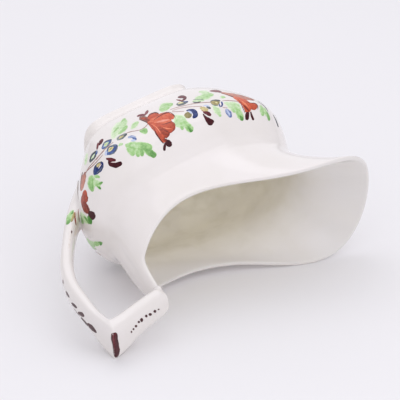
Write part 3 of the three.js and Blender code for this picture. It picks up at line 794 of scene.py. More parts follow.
# Berries, leaves and stems between the first two flowers
BESIDE_B = (
    ("green", 0.52, 1, ((241.9, -3.4, 242.7, -2.7), (239.6, -2.2, 242.8, 0.9), (237.3, 0.2, 240.7, 4.8),
      (233.4, 3.9, 235.5, 7.7))),
    ("green", 0.45, 2, ((241.7, -1.3, 243.2, -1.1), (240.9, 2.2, 243.9, 2.2), (241.9, 4.6, 243.4, 4.4))),
    ("green", 0.5, 2, ((239.2, 2.9, 241.1, 2.4), (239.4, 5.3, 241.8, 4.4), (240.7, 6.6, 241.9, 6))),
    ("green", 0.65, 3, ((237.8, 4.4, 239.2, 3.8), (238.1, 6.3, 240.1, 5.3), (239.2, 7.4, 240.3, 6.8))),
    ("green", 0.85, 3, ((236.4, 4.7, 238, 5.4), (234.5, 7, 237.4, 8.2), (233.2, 10.2, 235.4, 11))),
    ("green", 0.38, 3, ((240.5, -1.4, 241.4, -0.5), (238.7, 0.7, 240.1, 2.4), (237, 2.6, 237.7, 3.7))),
    ("green", 0.57, 2, ((233.8, 4.3, 234.9, 4.3), (233.6, 5.9, 235.2, 5.5), (234.4, 7.1, 235.3, 6.8))),
    ("green", 0.57, 1, ((233.1, -5.3, 233.7, -4.4), (230.8, -5, 233.1, -1.5), (229.5, -4.1, 232.2, 0))),
    ("green", 0.3, 1, ((235.2, -10, 235.2, -8.6), (232.3, -12.5, 232.8, -8.5), (229.6, -12.1, 230.1, -10))),
    ("green", 0.22, 1, ((245, -12.8, 244.5, -10.8), (241.7, -18.1, 240.9, -10.8),
      (236.7, -20.5, 237.3, -11.7), (232, -19.9, 232.7, -15.8))),
    ("green", 0.52, 2, ((242.4, -15.3, 242.3, -13.9), (240.1, -17.3, 240.2, -14.3),
      (237.9, -16.6, 238.3, -14.6))),
    ("green", 0.42, 2, ((241.1, -12.5, 241.2, -11.2), (238.2, -13.6, 238.5, -10.4),
      (234.7, -14.4, 235, -12))),
    ("green", 0.47, 2, ((235.7, -18.8, 235.7, -17.5), (233.1, -21.2, 233.7, -18),
      (231.6, -20.8, 232.1, -19))),
    ("green", 0.37, 1, ((244.8, -5.5, 244.8, -4.5), (243.4, -6, 243.8, -4.1), (242.4, -5, 242.8, -3.7))),
    ("blue", 0.1, 1, ((239, -6.1, 239.4, -5.1), (237.3, -5.5, 238.2, -3.9), (236.2, -3.2, 237.1, -2.2))),
    ("blue", -0.1, 1, ((238.9, -3.3, 239.4, -2.5), (237.9, -2.8, 238.6, -1.4), (237.2, -2, 237.6, -1.1))),
    ("blue", 0.5, 2, ((237.7, -4.6, 238.1, -4.3), (236.9, -3.2, 238, -2.5), (236.7, -1.6, 237.7, -1.1))),
    ("ink", 0.25, 1, ((243.3, -9.8, 243.5, -8.4), (240.9, -10.2, 241.5, -7.1), (238, -9, 238.3, -7.4))),
    ("olive", 0.35, 2, ((242.4, -9.4, 242.6, -8.4), (241, -9.7, 241.3, -7.7), (239.6, -8.9, 239.8, -7.9))),
    ("ink", 0.6, 3, ((239.9, -8.6, 240, -7.9), (238.8, -9, 239, -7.4), (238, -8.7, 238.1, -7.8))),
    ("blue", -0.1, 1, ((252.1, -7.4, 251.9, -6), (250.4, -8.4, 250.3, -5), (248.6, -7.6, 248.8, -4.9))),
    ("blue", 0.6, 2, ((251.3, -7.3, 251.1, -5.1), (248.4, -9, 248.3, -3.5), (244.8, -7.2, 244.8, -5))),
    ("olive", 0.25, 3, ((250.1, -7.2, 250, -5.9), (248.4, -8.5, 248.2, -4.9), (246.3, -7.6, 246.3, -5.6))),
    ("olive", 0.85, 4, ((249.2, -7.2, 249.1, -6.5), (248.3, -7.6, 248.2, -6.3),
      (247.4, -7.3, 247.4, -6.7))),
    ("ink", 0.3, 4, ((250.6, -7.5, 250.5, -7.3), (248.8, -9.1, 248.8, -8.6), (246.5, -8.2, 246.7, -7.6),
      (245, -5.6, 245.3, -5.2))),
    ("ink", 0.3, 4, ((250.4, -4.9, 250.5, -4.6), (248.4, -4, 248.4, -3.5), (246.6, -4.4, 246.4, -3.8),
      (245.1, -5.5, 245, -5.2))),
    ("blue", 0.5, 1, ((251.7, -12.1, 251.3, -10.3), (248.9, -13.8, 248.4, -9.5),
      (245.3, -12.3, 245.3, -10.8))),
    ("green", 0.27, 2, ((250.4, -12.2, 250.2, -10.8), (248.8, -13.3, 248.4, -10),
      (246.7, -12.4, 246.6, -11))),
    ("olive", 0.3, 3, ((249.6, -11.9, 249.5, -11.3), (248.7, -12.3, 248.5, -11.1),
      (247.6, -12, 247.5, -11.4))),
    ("ink", 0.45, 3, ((250.8, -12.5, 250.7, -12.3), (249, -13.9, 248.9, -13.3), (246.9, -13.4, 247, -12.7),
      (245, -12, 245.2, -11.4))),
    ("ink", 0.25, 3, ((251.2, -10.6, 251.2, -10.3), (249.2, -10.1, 249.2, -9.7),
      (246.8, -10.9, 246.7, -10.4), (245.3, -11.5, 245.2, -11.2))),
    ("ink", 0.5, 1, ((260.9, -12.9, 260.1, -11.4), (258.6, -15.1, 256.8, -10.8),
      (254.4, -14, 253.9, -12.4))),
    ("green", 0.22, 2, ((259.5, -13.2, 259.1, -12.2), (258.1, -14.1, 257.1, -11.5),
      (255.9, -13.6, 255.5, -12.6))),
    ("blue", 0.5, 3, ((253.8, -13.1, 254.3, -13.9), (254.4, -11.8, 255.1, -13.2),
      (255.7, -11.5, 256.1, -12.3))),
    ("blue", 0.95, 1, ((261.5, -4.6, 261.1, -3.3), (259.2, -7.3, 257.6, -1.6), (254.9, -6, 254.3, -3.4))),
    ("olive", 0.4, 2, ((258.4, -6.2, 258.1, -4.8), (257.3, -7.1, 256.8, -3.9), (255.6, -6.2, 255.4, -4.3))),
    ("pale", 0, 3, ((258, -4.4, 257.9, -4), (256.8, -4.7, 256.6, -3.9), (255.6, -4.7, 255.5, -4.3))),
    ("ink", 0.6, 3, ((259.3, -6.3, 259.2, -5.9), (257.1, -7, 257, -6.4), (254.6, -5.5, 254.7, -5))),
    ("ink", 0.5, 3, ((259.9, -3.4, 259.8, -2.9), (257.4, -2.9, 257.3, -2.3), (255.4, -3.6, 255.3, -3.1))),
    ("maroon", 0.6, 3, ((252.2, -4.9, 252.7, -4.4), (250.6, -2.8, 251.9, -1.6), (249.4, -0.1, 250.3, 0.7))),
    ("maroon", 0.95, 2, ((251.8, -2.6, 252.5, -2.8), (251.5, -0.7, 253.4, -0.4), (250.7, 1, 252, 3.2),
      (248.3, 2.3, 248.7, 4.2))),
    ("pale", 0.15, 4, ((251.9, -1.1, 252, -1), (251.2, 0, 251.3, 0.2), (250.2, 1.2, 250.2, 1.3))),
    ("maroon", 0.7, 3, ((248.2, -15.7, 248.5, -17.1), (249.6, -14.6, 250.4, -17.4),
      (251.8, -14.5, 252.2, -15.8))),
    ("maroon", 0.3, 2, ((251.3, -16.6, 251.9, -17.5), (252.1, -14.9, 253.1, -16.5),
      (253.8, -13.5, 254.2, -14.2))),
    ("stem", 0.5, 1, ((266.8, -10.6, 266.4, -9.9), (262.9, -10.9, 262.6, -10.2),
      (258.8, -10.1, 258.6, -9.5), (254.1, -9.8, 254, -9.2), (251.1, -9.6, 251.1, -9.1))),
    ("stem", 0.5, 1, ((264.8, -11.2, 264.5, -10.5), (260.1, -9.1, 260, -8.4), (256.3, -8.2, 256.2, -7.7),
      (252.6, -8.1, 252.6, -7.8))),
    ("stem", 0.4, 1, ((256.8, -9.2, 256.7, -8.8), (252.3, -9.9, 252.2, -9.4), (249.1, -9.8, 249, -9.3),
      (245.3, -9.5, 245.3, -9.1))),
    ("stem", 0.4, 1, ((237.8, -9, 238, -8.5), (235.6, -7.7, 235.8, -7.2), (233.1, -5.7, 233.2, -5.3),
      (230.5, -5.3, 230.6, -4.8), (228, -6.2, 228, -5.9))),
)
# The flower in the middle of the side, with the leaves beside it
FLOWER_B = (
    ("red", 0.35, 0, ((224.9, -8.2, 226.7, -5.8), (221.4, -6.2, 225.6, -0.5), (218.2, -2.3, 221.3, 2.4))),
    ("rose", 1, 2, ((227.3, -14.5, 228.4, -13), (225.5, -12.7, 228.1, -9.7), (225.1, -8.2, 227.3, -6.1))),
    ("red", 0.85, 3, ((227.2, -13.5, 228, -12.5), (225.8, -11.8, 227.7, -9.8), (225.5, -7.8, 227.1, -6.3))),
    ("maroon", 0.3, 3, ((227.4, -16.6, 227.9, -15.4), (225.3, -16.6, 226.6, -14.3),
      (224, -14.1, 225.1, -12.4))),
    ("maroon", 0.2, 3, ((224.6, -14.4, 224.9, -13), (222.6, -16.1, 223.1, -13.7),
      (220.9, -17.1, 221.2, -15.4))),
    ("red", 0.55, 1, ((226.8, -9.8, 227.2, -7.5), (222.4, -12.5, 224.3, -7.7), (219.7, -9.7, 221.7, -6.4))),
    ("red", 0.5, 2, ((226.8, -8.2, 227.8, -6), (221.8, -8.3, 224.3, -2.9), (217.2, -7.3, 220.7, -1.7),
      (216.6, -2.2, 218.2, -0.4))),
    ("red", 0.62, 3, ((226.3, -5.3, 227.7, -3.6), (222.9, -1.5, 225.6, 1.6), (220.2, -0.1, 223.8, 4.7),
      (218.9, 1.8, 221.2, 5.4))),
    ("red", 0.85, 4, ((226.2, -1.8, 227.6, -1), (224.4, 2.1, 227.7, 3.6), (223.4, 5.4, 226.6, 6.7))),
    ("red", 0.6, 5, ((226.9, -7.6, 228.1, -7), (226, -2.4, 228.7, -1.5), (226.2, 3.2, 229.5, 3.4),
      (227.2, 7.5, 228.8, 7.4))),
    ("pale", 0.85, 3, ((224.8, -4.2, 225, -3.7), (222, -3.5, 222.7, -2.1), (219.6, -1.7, 220, -1.1))),
    ("red", 0.1, 6, ((226.9, -4.4, 227.2, -4.2), (226.6, -0.3, 227.3, -0.1), (227.3, 3.2, 227.6, 3.2))),
    ("red", 0.15, 4, ((224.6, 0.7, 224.9, 1), (223.2, 2.1, 223.8, 2.8), (222, 3.3, 222.2, 3.7))),
    ("red", 1, 6, ((228.1, 5.5, 228.6, 5.9), (227.2, 6.1, 227.9, 7.2), (226.4, 6.5, 226.6, 7.4))),
    ("line", 0.75, 5, ((225.2, -10.7, 225.3, -10.4), (222.5, -12.1, 222.7, -11.3),
      (220.4, -11.6, 220.9, -10.8), (220, -9.3, 220.3, -9))),
    ("line", 0.75, 5, ((225, -6.3, 225, -6), (221.2, -7.3, 221.4, -6.6), (217.9, -7.3, 218.3, -6.6),
      (216.3, -6.2, 216.5, -5.8))),
    ("line", 0.5, 5, ((216.3, -6, 216.6, -5.8), (216.3, -3.2, 216.8, -3), (217.3, -0.6, 217.5, -0.6))),
    ("line", 0.6, 5, ((224.4, -0.9, 224.5, -0.7), (222.1, -0.5, 222.3, 0), (219.5, -0.1, 219.7, 0.3))),
    ("line", 0.35, 5, ((219.6, 1.1, 219.8, 1), (220.3, 3.3, 220.5, 3.2), (222.1, 4.9, 222.2, 4.7))),
    ("line", 0.5, 6, ((226.3, 0.8, 226.4, 1), (225, 2.4, 225.2, 2.6), (224.1, 4.4, 224.4, 4.5))),
    ("line", 0.8, 6, ((228.6, -12.7, 228.8, -12.4), (227.7, -8.1, 228.1, -7.7), (227.5, -3.1, 227.9, -2.9),
      (228.7, 2.2, 229.2, 2.2), (228.8, 5.6, 229.3, 5.6), (228.5, 7.8, 228.7, 7.8))),
    ("maroon", 0.75, 5, ((226.4, 6.3, 227.3, 6.2), (226.2, 7.6, 227.6, 7.6), (226.1, 8.6, 227.4, 8.6))),
    ("maroon", 1, 6, ((225.8, 7, 226.9, 6.9), (225, 9, 227.8, 8.8), (225.2, 10.4, 227.3, 10.3))),
    ("maroon", 0.95, 6, ((227.1, 7.8, 227.6, 7.4), (228.1, 9.2, 229.1, 8.4), (229.2, 10.8, 230.2, 10.2))),
    ("green", 0.36, 1, ((217.9, -12.8, 219.1, -8.8), (213.1, -16.7, 217.3, -8.1),
      (209.6, -13.3, 211.4, -10.1))),
    ("green", 0.47, 2, ((216.7, -11.1, 217.7, -9), (214.5, -12.2, 216.5, -8.1), (213.2, -11.1, 214.2, -9))),
    ("green", 0.36, 1, ((215.8, -2.9, 217.9, -1.9), (213.5, 0, 220, 2.8), (213.2, 4.2, 218.5, 6.4))),
    ("green", 0.56, 2, ((214.9, 2.6, 216.5, 3.2), (213.2, 5.2, 216.7, 6.3), (212.6, 8.5, 215.3, 9.3))),
    ("green", 0.9, 3, ((214.5, 5.6, 215.6, 5.9), (213.4, 7.3, 215.6, 7.8), (213.3, 8.9, 214.9, 9.2))),
    ("green", 0.45, 2, ((215.9, 1.3, 217.6, 1.3), (216.3, 4.5, 218.4, 4.2), (217.4, 6.6, 218.5, 6.3))),
)
# Berries, leaves and stems between the second flower and the third
BERRIES_C = (
    ("maroon", 0.55, 3, ((203.4, -17.1, 204.8, -15.4), (200.9, -17, 204.1, -13.4),
      (201.3, -13.4, 203.2, -11.6))),
    ("maroon", 0.5, 3, ((202.2, -12.3, 201.4, -14.1), (204.5, -10.7, 203.4, -13),
      (206.3, -10.3, 205.7, -11.6))),
    ("maroon", 0.35, 2, ((206.3, -14.6, 207, -13.9), (205.7, -13, 207, -11.7),
      (205.6, -10.8, 206.6, -9.8))),
    ("ink", 0.3, 1, ((209.3, -10.9, 210.6, -9.2), (207, -10.5, 209.2, -7.1), (204.5, -9, 205.4, -7.6))),
    ("olive", 0, 2, ((209.1, -10.4, 209.7, -9.5), (207.4, -10.5, 208.9, -8.4), (206.5, -9.2, 207.1, -8.3))),
    ("blue", 0.75, 3, ((206.2, -10.3, 206.7, -9.8), (205.5, -9.4, 206.4, -8.2), (204.5, -8.8, 205.1, -8))),
    ("ink", 0.6, 3, ((209.8, -10.2, 210.2, -10), (209.9, -8.5, 210.5, -7.9), (208.7, -7.7, 209.1, -7.2))),
    ("green", 0.3, 1, ((203.3, -7.6, 203.9, -6.8), (200.2, -7.6, 202.2, -4.9), (198.5, -5.4, 199.5, -4.1))),
    ("ink", 0.3, 2, ((202.1, -8.5, 202.4, -8.1), (200.2, -7.5, 200.7, -6.9), (198.6, -5.7, 199.4, -4.8))),
    ("ink", 0.6, 2, ((203.6, -7, 204, -6.6), (202.8, -5.8, 203.6, -4.8), (200.8, -4.8, 201.3, -4.2))),
    ("green", 0.3, 1, ((191.6, -16.2, 194.3, -13.7), (189.4, -14.9, 194.9, -10),
      (189.9, -10.9, 194.1, -7.1))),
    ("green", 0.37, 1, ((200, -10, 201.6, -7.7), (195.1, -11.1, 199.4, -5.4), (191.4, -11.4, 196.6, -4.8),
      (190.1, -9.1, 192.3, -6.4))),
    ("green", 0.47, 2, ((198.3, -7.5, 199.2, -5.8), (195.2, -9, 197.1, -5.8), (193, -9.4, 194.3, -7.2))),
    ("blue", -0.15, 1, ((209.6, -2.2, 210.8, -1.1), (208.9, -1.1, 210.6, -0.1), (209.3, 0.9, 210.4, 1.3))),
    ("blue", 0.95, 2, ((210.4, -2.5, 210.8, -1.8), (208.5, -2.2, 209.6, -0.9), (206.8, -0.3, 209.6, 1.1),
      (208.1, 3.3, 209.7, 1.8), (210.8, 3.8, 210.9, 2.9))),
    ("olive", 0.95, 3, ((212.5, -1, 213.8, 0.8), (210.4, -1.2, 212.9, 2.6), (209.6, 0.5, 211, 2.8))),
    ("olive", 1, 4, ((212.6, -0.2, 212.8, 0), (211.3, 0.1, 211.7, 0.7), (210.4, 1.2, 210.6, 1.4))),
    ("olive", 1, 4, ((213.5, 1.4, 213.6, 1.6), (212.6, 2.1, 212.8, 2.4), (211.5, 2.4, 211.5, 2.6))),
    ("olive", 0.4, 1, ((204.1, -1.1, 205, -0.3), (202.4, -0.1, 204.5, 2.1), (201.6, 1.9, 202.7, 3.1))),
    ("ink", 0.4, 2, ((201.3, -0.2, 201.9, 0.4), (200.3, 0.7, 201.6, 1.7), (200.3, 1.9, 200.9, 2.3))),
    ("blue", -0.1, 1, ((202, -1.5, 202.4, -1), (200.6, -1.1, 201.5, -0.1), (200, 0.4, 200.6, 0.9))),
    ("line", 0.4, 2, ((204.9, 1.1, 205.1, 1.3), (204.2, 2.1, 204.5, 2.5), (203.4, 3, 203.5, 3.2))),
    ("olive", 0.8, 1, ((197, -2.9, 198.5, -1.1), (194.9, -2.5, 197.6, 0.9), (193.3, -1.4, 195.4, 1.4))),
    ("olive", 0.05, 2, ((196.3, -1.3, 197, -0.4), (195.2, -1.4, 196.5, 0.3), (194.9, -0.5, 195.6, 0.4))),
    ("ink", 0.5, 3, ((198.2, -1.8, 198.2, -1.5), (196.7, -3.1, 197.1, -2.4), (194.4, -2.9, 195.1, -2),
      (192.7, -1.6, 193.7, -0.5))),
    ("ink", 0.3, 3, ((198.2, -1.1, 198.5, -0.8), (197.7, 0.5, 198.2, 1), (195.9, 1.2, 196.3, 1.7))),
    ("blue", 0.7, 2, ((192.7, -0.5, 193.5, -0.4), (193.5, 1.5, 194.4, 1.2), (195.1, 3, 195.5, 2.6))),
    ("blue", 0.75, 3, ((194.8, 0.7, 195.4, 0.6), (195.3, 1.7, 196, 1.8), (195.5, 2.7, 196, 2.9))),
    ("pale", 0, 3, ((194, 0.2, 194.3, 0.2), (194.3, 1.3, 194.9, 1.3), (194.9, 2, 195.1, 2))),
    ("green", 0.25, 1, ((198, 0.2, 199.1, 0.8), (196.7, 2.7, 200.1, 3.9), (196.5, 5.7, 199.6, 6.6))),
    ("green", 0.37, 2, ((198, 5.2, 199, 5.6), (197.3, 6.2, 199, 6.7), (197.5, 7.3, 198.5, 7.5))),
    ("green", 0.32, 1, ((190.4, -4.8, 191.5, -3.4), (188.6, -5.1, 191, -2.5), (188.1, -3.6, 189.6, -2.1))),
    ("blue", 0.35, 1, ((193.3, 4.2, 194.4, 4.6), (192, 6.3, 194.8, 7), (192.2, 8.9, 193.5, 9.2))),
    ("blue", -0.2, 2, ((193.3, 5.3, 193.9, 5.4), (192.6, 6.6, 194.1, 7), (192.7, 8.2, 193.4, 8.3))),
    ("maroon", 0.6, 2, ((204.5, 2.1, 205.2, 2.8), (202.7, 2.9, 204.3, 4.3), (201.7, 5, 202.9, 5.9))),
    ("maroon", 0.85, 3, ((205.2, 3.2, 205.7, 3.4), (204.6, 5.2, 206, 5.7), (202.8, 7.1, 205.6, 8.5),
      (201.2, 8.2, 204.6, 10.4))),
    ("green", 0.32, 1, ((192, 0.2, 192.9, 1), (188.5, 0.9, 192.2, 4.3), (185.6, 2.9, 191, 6.6),
      (185.3, 6.3, 189.7, 8.3))),
    ("green", 0.57, 2, ((187.5, 4.8, 189.5, 5.4), (185.9, 7.5, 189.9, 8.6), (185.9, 10.7, 188.8, 11.2))),
    ("green", 0.9, 3, ((187.4, 8.5, 188.7, 9), (186.2, 10, 188.6, 10.6), (186.4, 11.5, 188, 11.7))),
    ("green", 0.36, 2, ((190.5, 3.1, 191.9, 3.7), (189.7, 5, 191.6, 5.9), (189.5, 6.9, 190.6, 7.4))),
    ("stem", 0.4, 1, ((215, -8, 215.2, -7.6), (212.1, -7.6, 212.4, -7), (209.5, -6.8, 209.8, -6.3),
      (206, -5.8, 206.3, -5.2), (202.6, -4.5, 203, -4), (199.9, -3.2, 200.3, -2.7),
      (197.5, -2.1, 197.8, -1.7))),
    ("stem", 0.3, 1, ((215, -6.5, 215.1, -6.2), (212.1, -6.1, 212.4, -5.6), (209.2, -5, 209.5, -4.5),
      (205.9, -3, 206.2, -2.6), (203, -1.2, 203.2, -0.9))),
    ("stem", 0.5, 1, ((215.4, -5.9, 215.7, -5.5), (213.9, -4.4, 214.1, -4), (211.5, -2.5, 211.7, -2.2))),
    ("stem", 0.4, 1, ((194.8, 3.1, 195, 3.3), (193.8, 3.6, 194, 3.9), (192.7, 4, 192.8, 4.2))),
)
# The flower towards the lip, and what follows it
FLOWER_C = (
    ("green", 0.52, 1, ((170.9, 2.3, 173.4, 3.6), (170.6, 5.5, 174.9, 7.1), (172.8, 9.3, 174.9, 9.7))),
    ("green", 0.42, 2, ((169.2, 3.4, 171.1, 4.4), (169, 5.9, 172.3, 7.5), (169.5, 8.7, 171.5, 9.6))),
    ("green", 0.8, 3, ((169.1, 6.1, 170.7, 6.9), (168.2, 8.2, 171, 9.4), (168.9, 10.9, 170.6, 11.5))),
    ("ink", 0.2, 3, ((170.9, -0.3, 171.4, 0.1), (168.7, 0.9, 169.6, 1.6), (167.7, 3.1, 168.6, 3.7),
      (168.1, 5.9, 168.5, 6.2))),
    ("maroon", 0.2, 2, ((187.8, -13.5, 189.3, -12.1), (183.9, -13.3, 187.8, -9.9),
      (184.1, -9.8, 186.6, -7.6))),
    ("rose", 0.55, 1, ((185.2, -9.4, 187, -7.7), (181.4, -6.5, 185.2, -3), (176.9, -3.6, 180.8, 0.1),
      (172.2, -1.4, 174.3, 0.5))),
    ("line", 0.6, 2, ((186.5, -8.2, 187, -7.7), (185.3, -4.5, 186, -3.9), (183.8, -1.6, 184.6, -0.9),
      (183.8, 1.6, 184.2, 1.9))),
    ("red", 0.4, 2, ((183.9, -3.4, 185.5, -2.1), (180.6, -1.7, 185.1, 1.8), (178.8, 2.9, 184.3, 5.4),
      (180.9, 7.9, 184.4, 8.3))),
    ("red", 0.55, 3, ((181.6, 1.2, 182.9, 2.4), (178.1, 2.4, 180.8, 5), (174.9, 2.9, 179.4, 6.9),
      (174.4, 4.1, 178, 7.2))),
    ("red", 1, 4, ((183.2, 3.7, 183.8, 4), (182, 5.3, 183.4, 6.1), (181.3, 7.4, 182.5, 8))),
    ("red", 0.1, 4, ((182.7, 1.3, 183.3, 1.7), (181.5, 3, 182.7, 3.8), (180.8, 5.8, 181.5, 6.2))),
    ("line", 0.7, 4, ((180.8, 1.7, 181.1, 2), (178.2, 2.4, 178.7, 2.9), (174.9, 2.2, 175.6, 2.8),
      (174.5, 4, 175.1, 4.3), (175.9, 6.3, 176.1, 6.3))),
    ("line", 0.5, 4, ((183.9, 1.8, 184.2, 1.9), (184.6, 5, 185, 5.1), (184.5, 8, 184.8, 8))),
    ("maroon", 0.95, 5, ((182.1, 7.8, 183.4, 7.5), (182.6, 9.5, 184.8, 9), (183.7, 11.8, 185.7, 11.4))),
    ("maroon", 0.9, 5, ((180.7, 7.6, 181.6, 7.8), (180.5, 9.5, 181.8, 9.8), (180, 11.8, 181.4, 12.1))),
    ("ink", 0.8, 2, ((163, 5.1, 163.8, 5.6), (161.8, 7.4, 163.3, 8.4), (160.9, 11.2, 162.5, 12.2))),
    ("stem", 0.4, 1, ((192.2, -1, 192.4, -0.7), (189.4, -0.5, 189.8, 0), (186.8, 0.5, 187.1, 1),
      (184.5, 1.4, 184.8, 1.7))),
)
# Brush strokes on the handle, in the same form: mm up the strap from the belly and mm round it.
HANDLE_STROKES = (
    ("brown", 0.2, 0, ((2.9, 17, 4.9, 18.3), (2.9, 13.6, 8.5, 16.9), (4.6, 9.4, 12.7, 15.6),
      (12, 10.7, 16.7, 14.6))),
    ("brown", 0, 0, ((11.8, 16.7, 13.5, 18.5), (16, 15.8, 19.3, 19.3), (23.2, 16.3, 25.4, 19.1),
      (29.1, 17.2, 30.1, 18.6))),
    ("green", 0.45, 1, ((5.7, 19.3, 7.5, 21.3), (8.8, 18.3, 15.5, 24.5), (16.3, 21.2, 20.4, 25.9))),
    ("olive", 0.6, 2, ((5.8, 18.2, 7.2, 19.6), (7.9, 17.3, 10.5, 20.1), (12.4, 18.3, 13.5, 19.8))),
    ("green", 0.85, 3, ((6.2, 19.7, 7.5, 21), (7.2, 19.2, 9, 21.3), (9.5, 20.2, 10.5, 21.3))),
    ("green", 0.8, 3, ((11.7, 19.5, 12.8, 21.3), (14.2, 20.1, 16.9, 23.4), (17.3, 21.8, 20.3, 24.4))),
    ("maroon", 1, 1, ((15.8, 17, 17.3, 18.4), (16.1, 16.1, 18.7, 18.4), (17.7, 16.2, 19.3, 17.6))),
    ("line", 0.3, 1, ((5, 18, 6.3, 18.9), (6.6, 15.7, 8.6, 16.9), (7.3, 13, 10.5, 14.9))),
    ("stem", 0.4, 1, ((1.6, 16.9, 2.2, 17.3), (2.4, 14.7, 3.5, 15.2), (2.6, 12, 3.7, 12.6))),
    ("maroon", 0.8, 1, ((51.4, 26.5, 50.1, 28), (52.2, 27, 49.8, 29.9), (52.4, 28, 50.7, 30.2))),
    ("maroon", 0.95, 1, ((55.5, 28.9, 54.1, 31.1), (57.6, 28.6, 55.5, 31.6), (59.2, 29.1, 57.7, 31.3))),
    ("maroon", 1, 1, ((60.7, 30.7, 59.5, 32.7), (63.3, 29.1, 61.4, 32.6), (65.4, 29, 64, 31.5))),
    ("maroon", 1, 1, ((65.9, 31, 64.6, 33.6), (68.8, 28.6, 66.8, 32.7), (70.9, 28.6, 69.5, 31.3))),
    ("maroon", 1, 1, ((72.8, 30.9, 71.3, 33.5), (74.8, 30.2, 72.7, 33.8), (76.5, 30.5, 74.9, 33.4),
      (77.8, 31.4, 77.1, 32.6))),
    ("line", 1, 1, ((62, 33.6, 61.2, 34.8), (64.3, 33.5, 63.7, 34.8), (66.3, 33.9, 65.9, 34.8))),
    ("line", 1, 1, ((67.8, 32.7, 66.7, 34.4), (70.4, 32.4, 68.8, 35.1), (72.8, 32.7, 71.8, 34.4))),
    ("maroon", 0.9, 1, ((88.2, 25.9, 85.5, 25.4), (88.1, 28, 85, 27.9), (88.2, 31.6, 85.4, 31.1),
      (88.4, 34.2, 85.6, 33.3), (87.5, 35.3, 85.9, 34.7))),
    ("maroon", 0.45, 2, ((86.5, 26.3, 86, 26.3), (86.6, 28.4, 85.8, 28.4), (86.6, 31.9, 86.1, 31.8))),
    ("maroon", 1, 2, ((87.9, 26.2, 87.4, 26), (88, 28.9, 87.2, 28.4), (87.7, 32.7, 87.1, 32.3))),
    ("maroon", 1, 1, ((94.6, 29.4, 94, 28.9), (94.7, 30, 93.9, 29.4), (94.5, 30.5, 93.9, 30))),
    ("maroon", 1, 1, ((95.9, 29, 95, 28.4), (95.9, 29.6, 94.9, 28.8), (95.8, 30, 94.9, 29.4))),
    ("maroon", 1, 1, ((97.4, 28.6, 96.3, 27.8), (97.6, 29.3, 96, 28.2), (97.3, 29.8, 96.1, 28.9))),
    ("maroon", 1, 1, ((99.1, 27.9, 97.9, 27.1), (99.2, 28.5, 97.7, 27.5), (98.9, 28.9, 97.8, 28.1))),
    ("maroon", 1, 1, ((100.7, 27.7, 99.5, 26.9), (100.8, 28.7, 99.1, 27.5), (100.5, 29.5, 99.2, 28.5))),
    ("maroon", 1, 1, ((103.2, 27.8, 102.1, 27), (103.3, 28.5, 101.8, 27.5), (103.1, 29.1, 101.9, 28.2))),
    ("maroon", 1, 1, ((105.6, 28.6, 103.9, 27.5), (105.8, 29.4, 103.6, 28), (105.5, 30, 103.8, 28.8))),
    ("maroon", 1, 1, ((108, 28.7, 106.7, 27.8), (108.1, 29.5, 106.4, 28.4), (107.9, 30.2, 106.6, 29.2))),
    ("maroon", 1, 1, ((109.8, 29.3, 108.8, 28.7), (109.9, 29.8, 108.6, 28.9), (109.7, 30.1, 108.8, 29.4))),
)

# Enamels as they are on the jug: how their edges dry, then watery, full and pooled.
ENAMELS = {
    "red": ("orange red enamel", 0.2, "#e98e6a", "#c9583b", "#7e3325"),
    "rose": ("dusty pink enamel", 0.15, "#dba898", "#c0806d", "#86584e"),
    "pale": ("pale wash between strokes", 0.1, "#f4ece6", "#eeaa98", "#dd8872"),
    "maroon": ("dark maroon enamel", 0.15, "#94585c", "#63252c", "#3c0e16"),
    "line": ("fine dark brown line", 0.1, "#b0604e", "#7a382f", "#3a1d20"),
    "ink": ("slate grey outline", 0.2, "#98a096", "#565d62", "#2a2e38"),
    "green": ("leaf green enamel", -0.4, "#dce9cd", "#9fc885", "#4a873c"),
    "blue": ("cobalt blue enamel", 0.2, "#bcc6de", "#536a9f", "#202f66"),
    "olive": ("olive yellow enamel", 0.1, "#e4dca6", "#c0b07a", "#857c50"),
    "stem": ("thin stem enamel", 0.0, "#cdb4ac", "#a07c76", "#745250"),
    # A brown tint on the strap near where it leaves the belly, fading at its edges.
    "brown": ("brown tint at the handle's root", -0.5, "#e3ddd8", "#cdbfae", "#8c7c68"),
}

# Camera
right, up = np.array(CAMERA_RIGHT), np.array(CAMERA_UP)
back = np.cross(right, up)
lens = bpy.data.cameras.new("camera")
lens.lens = CAMERA_LENS
lens.sensor_width = FILM_WIDTH
lens.clip_end = 20
camera = bpy.data.objects.new("camera", lens)
camera.matrix_world = placed(unit(right), unit(up), unit(back), CAMERA_PLACE)
bpy.context.collection.objects.link(camera)
bpy.context.scene.camera = camera

# Jug
body = body_piece()
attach(body, "root")
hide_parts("body")
body.data.materials.append(white_glaze("body glaze"))

foot = foot_piece()
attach(foot, "root")
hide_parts("foot_ring")
# The foot's glaze is a lighter copy of the body's: painted light on the foot.
foot.data.materials.append(white_glaze("foot glaze", "#ebe6e2"))

handle, handle_skin = handle_piece()
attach(handle, "root")
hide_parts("handle")
# The handle's glaze is a darker copy of the body's: painted shade on the strap.
handle.data.materials.append(white_glaze("handle glaze", "#e1dcd9"))

# The garland: the near side stroke by stroke, and the same sprays again round the far side. The last spray
# is only the strokes that still fit before the handle.
CHART = wall_chart()
chance = np.random.default_rng(20)
nearest = [stroke for stroke in BERRIES_C if np.min(np.array(stroke[3])[:, ::2]) > 206.5]
GARLAND = [
    *FLOWER_A, *BESIDE_B, *FLOWER_B, *BERRIES_C, *FLOWER_C,
    *moved(BESIDE_B, -93.8, 0.8), *moved(FLOWER_B, -93.8, 0.8), *moved(BERRIES_C, -97.4, 0.5),
    *moved(FLOWER_B, -142.5, -0.6), *moved(BERRIES_C, -146.4), *moved(nearest, -178.0),
]
for pigment, (title, *colours) in ENAMELS.items():
    strokes = [stroke for stroke in GARLAND if stroke[0] == pigment]
    if not strokes:
        continue
    garland = painted("garland_" + pigment, strokes, on_wall, chance)
    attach(garland, "root")
    garland.data.materials.append(enamel(title, *colours))

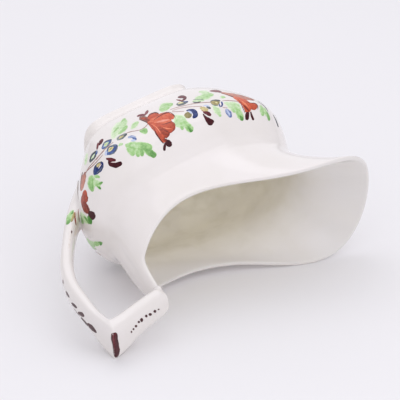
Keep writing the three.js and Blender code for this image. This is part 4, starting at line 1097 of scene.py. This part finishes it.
# The sprig, the stripe at the corner and the dots, on the outer face of the strap
HANDLE_SKIN = (handle_skin, grid_normals(handle_skin))
for pigment in ("brown", "maroon", "line", "green", "olive", "stem"):
    strokes = [stroke for stroke in HANDLE_STROKES if stroke[0] == pigment]
    handle_paint = painted("handle_" + pigment, strokes, on_handle, chance)
    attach(handle_paint, "root")
    title, *colours = ENAMELS[pigment]
    handle_paint.data.materials.append(enamel(title + " on the handle", *colours))

# Table
table = table_top()

# Lamps: places in mm above the table, towards the eye and to the left of the jug's middle
above = unit(np.array(TABLE_NORMAL))
eye_side = unit(back - above * (back @ above))
left_side = np.cross(eye_side, above)
middle = np.array(JUG_MIDDLE)
place = middle + above * 700 - eye_side * 300 + left_side * 110
lamp("overhead", place, place - above, 460, 0.84)
lamp("towards the mouth", middle + above * 620 + (0, 0, 610), middle, 700, 0.54)
lamp("camera side", middle + above * 600 + eye_side * 500, middle, 600, 0.25)
lamp("under the table", middle - above * 700 + eye_side * 250 - left_side * 250, middle, 900, 0.42)
place = middle + above * 700 - eye_side * 140 + left_side * 10
lamp("softbox in the glaze", place, place - above, 620, 1.0, only_gloss=True)
place = middle + above * 620 - eye_side * 900 + left_side * 150
lamp("white backdrop", place, middle, 1500, 0.7, only_gloss=True)

# Room: one strength for the light it gives, one for what the glaze mirrors, one behind the table
world = bpy.data.worlds.new("room")
world.use_nodes = True
sky = world.node_tree
sky.nodes.clear()
rays = node(sky, "ShaderNodeLightPath").outputs
room = node(sky, "ShaderNodeMapRange", {
    "Value": rays["Is Glossy Ray"], "To Min": SKY_DIFFUSE, "To Max": SKY_GLOSS})
behind = node(sky, "ShaderNodeMath", {0: rays["Is Camera Ray"], 1: SKY_BEHIND}, operation="MULTIPLY")
strength = node(sky, "ShaderNodeMath", {0: room.outputs[0], 1: behind.outputs[0]}, operation="MAXIMUM")
light = node(sky, "ShaderNodeBackground", {"Color": linear(DAYLIGHT), "Strength": strength.outputs[0]})
node(sky, "ShaderNodeOutputWorld", {"Surface": light.outputs[0]})
bpy.context.scene.world = world
bpy.context.scene.view_settings.view_transform = "Standard"
bpy.context.scene.cycles.diffuse_bounces = 12
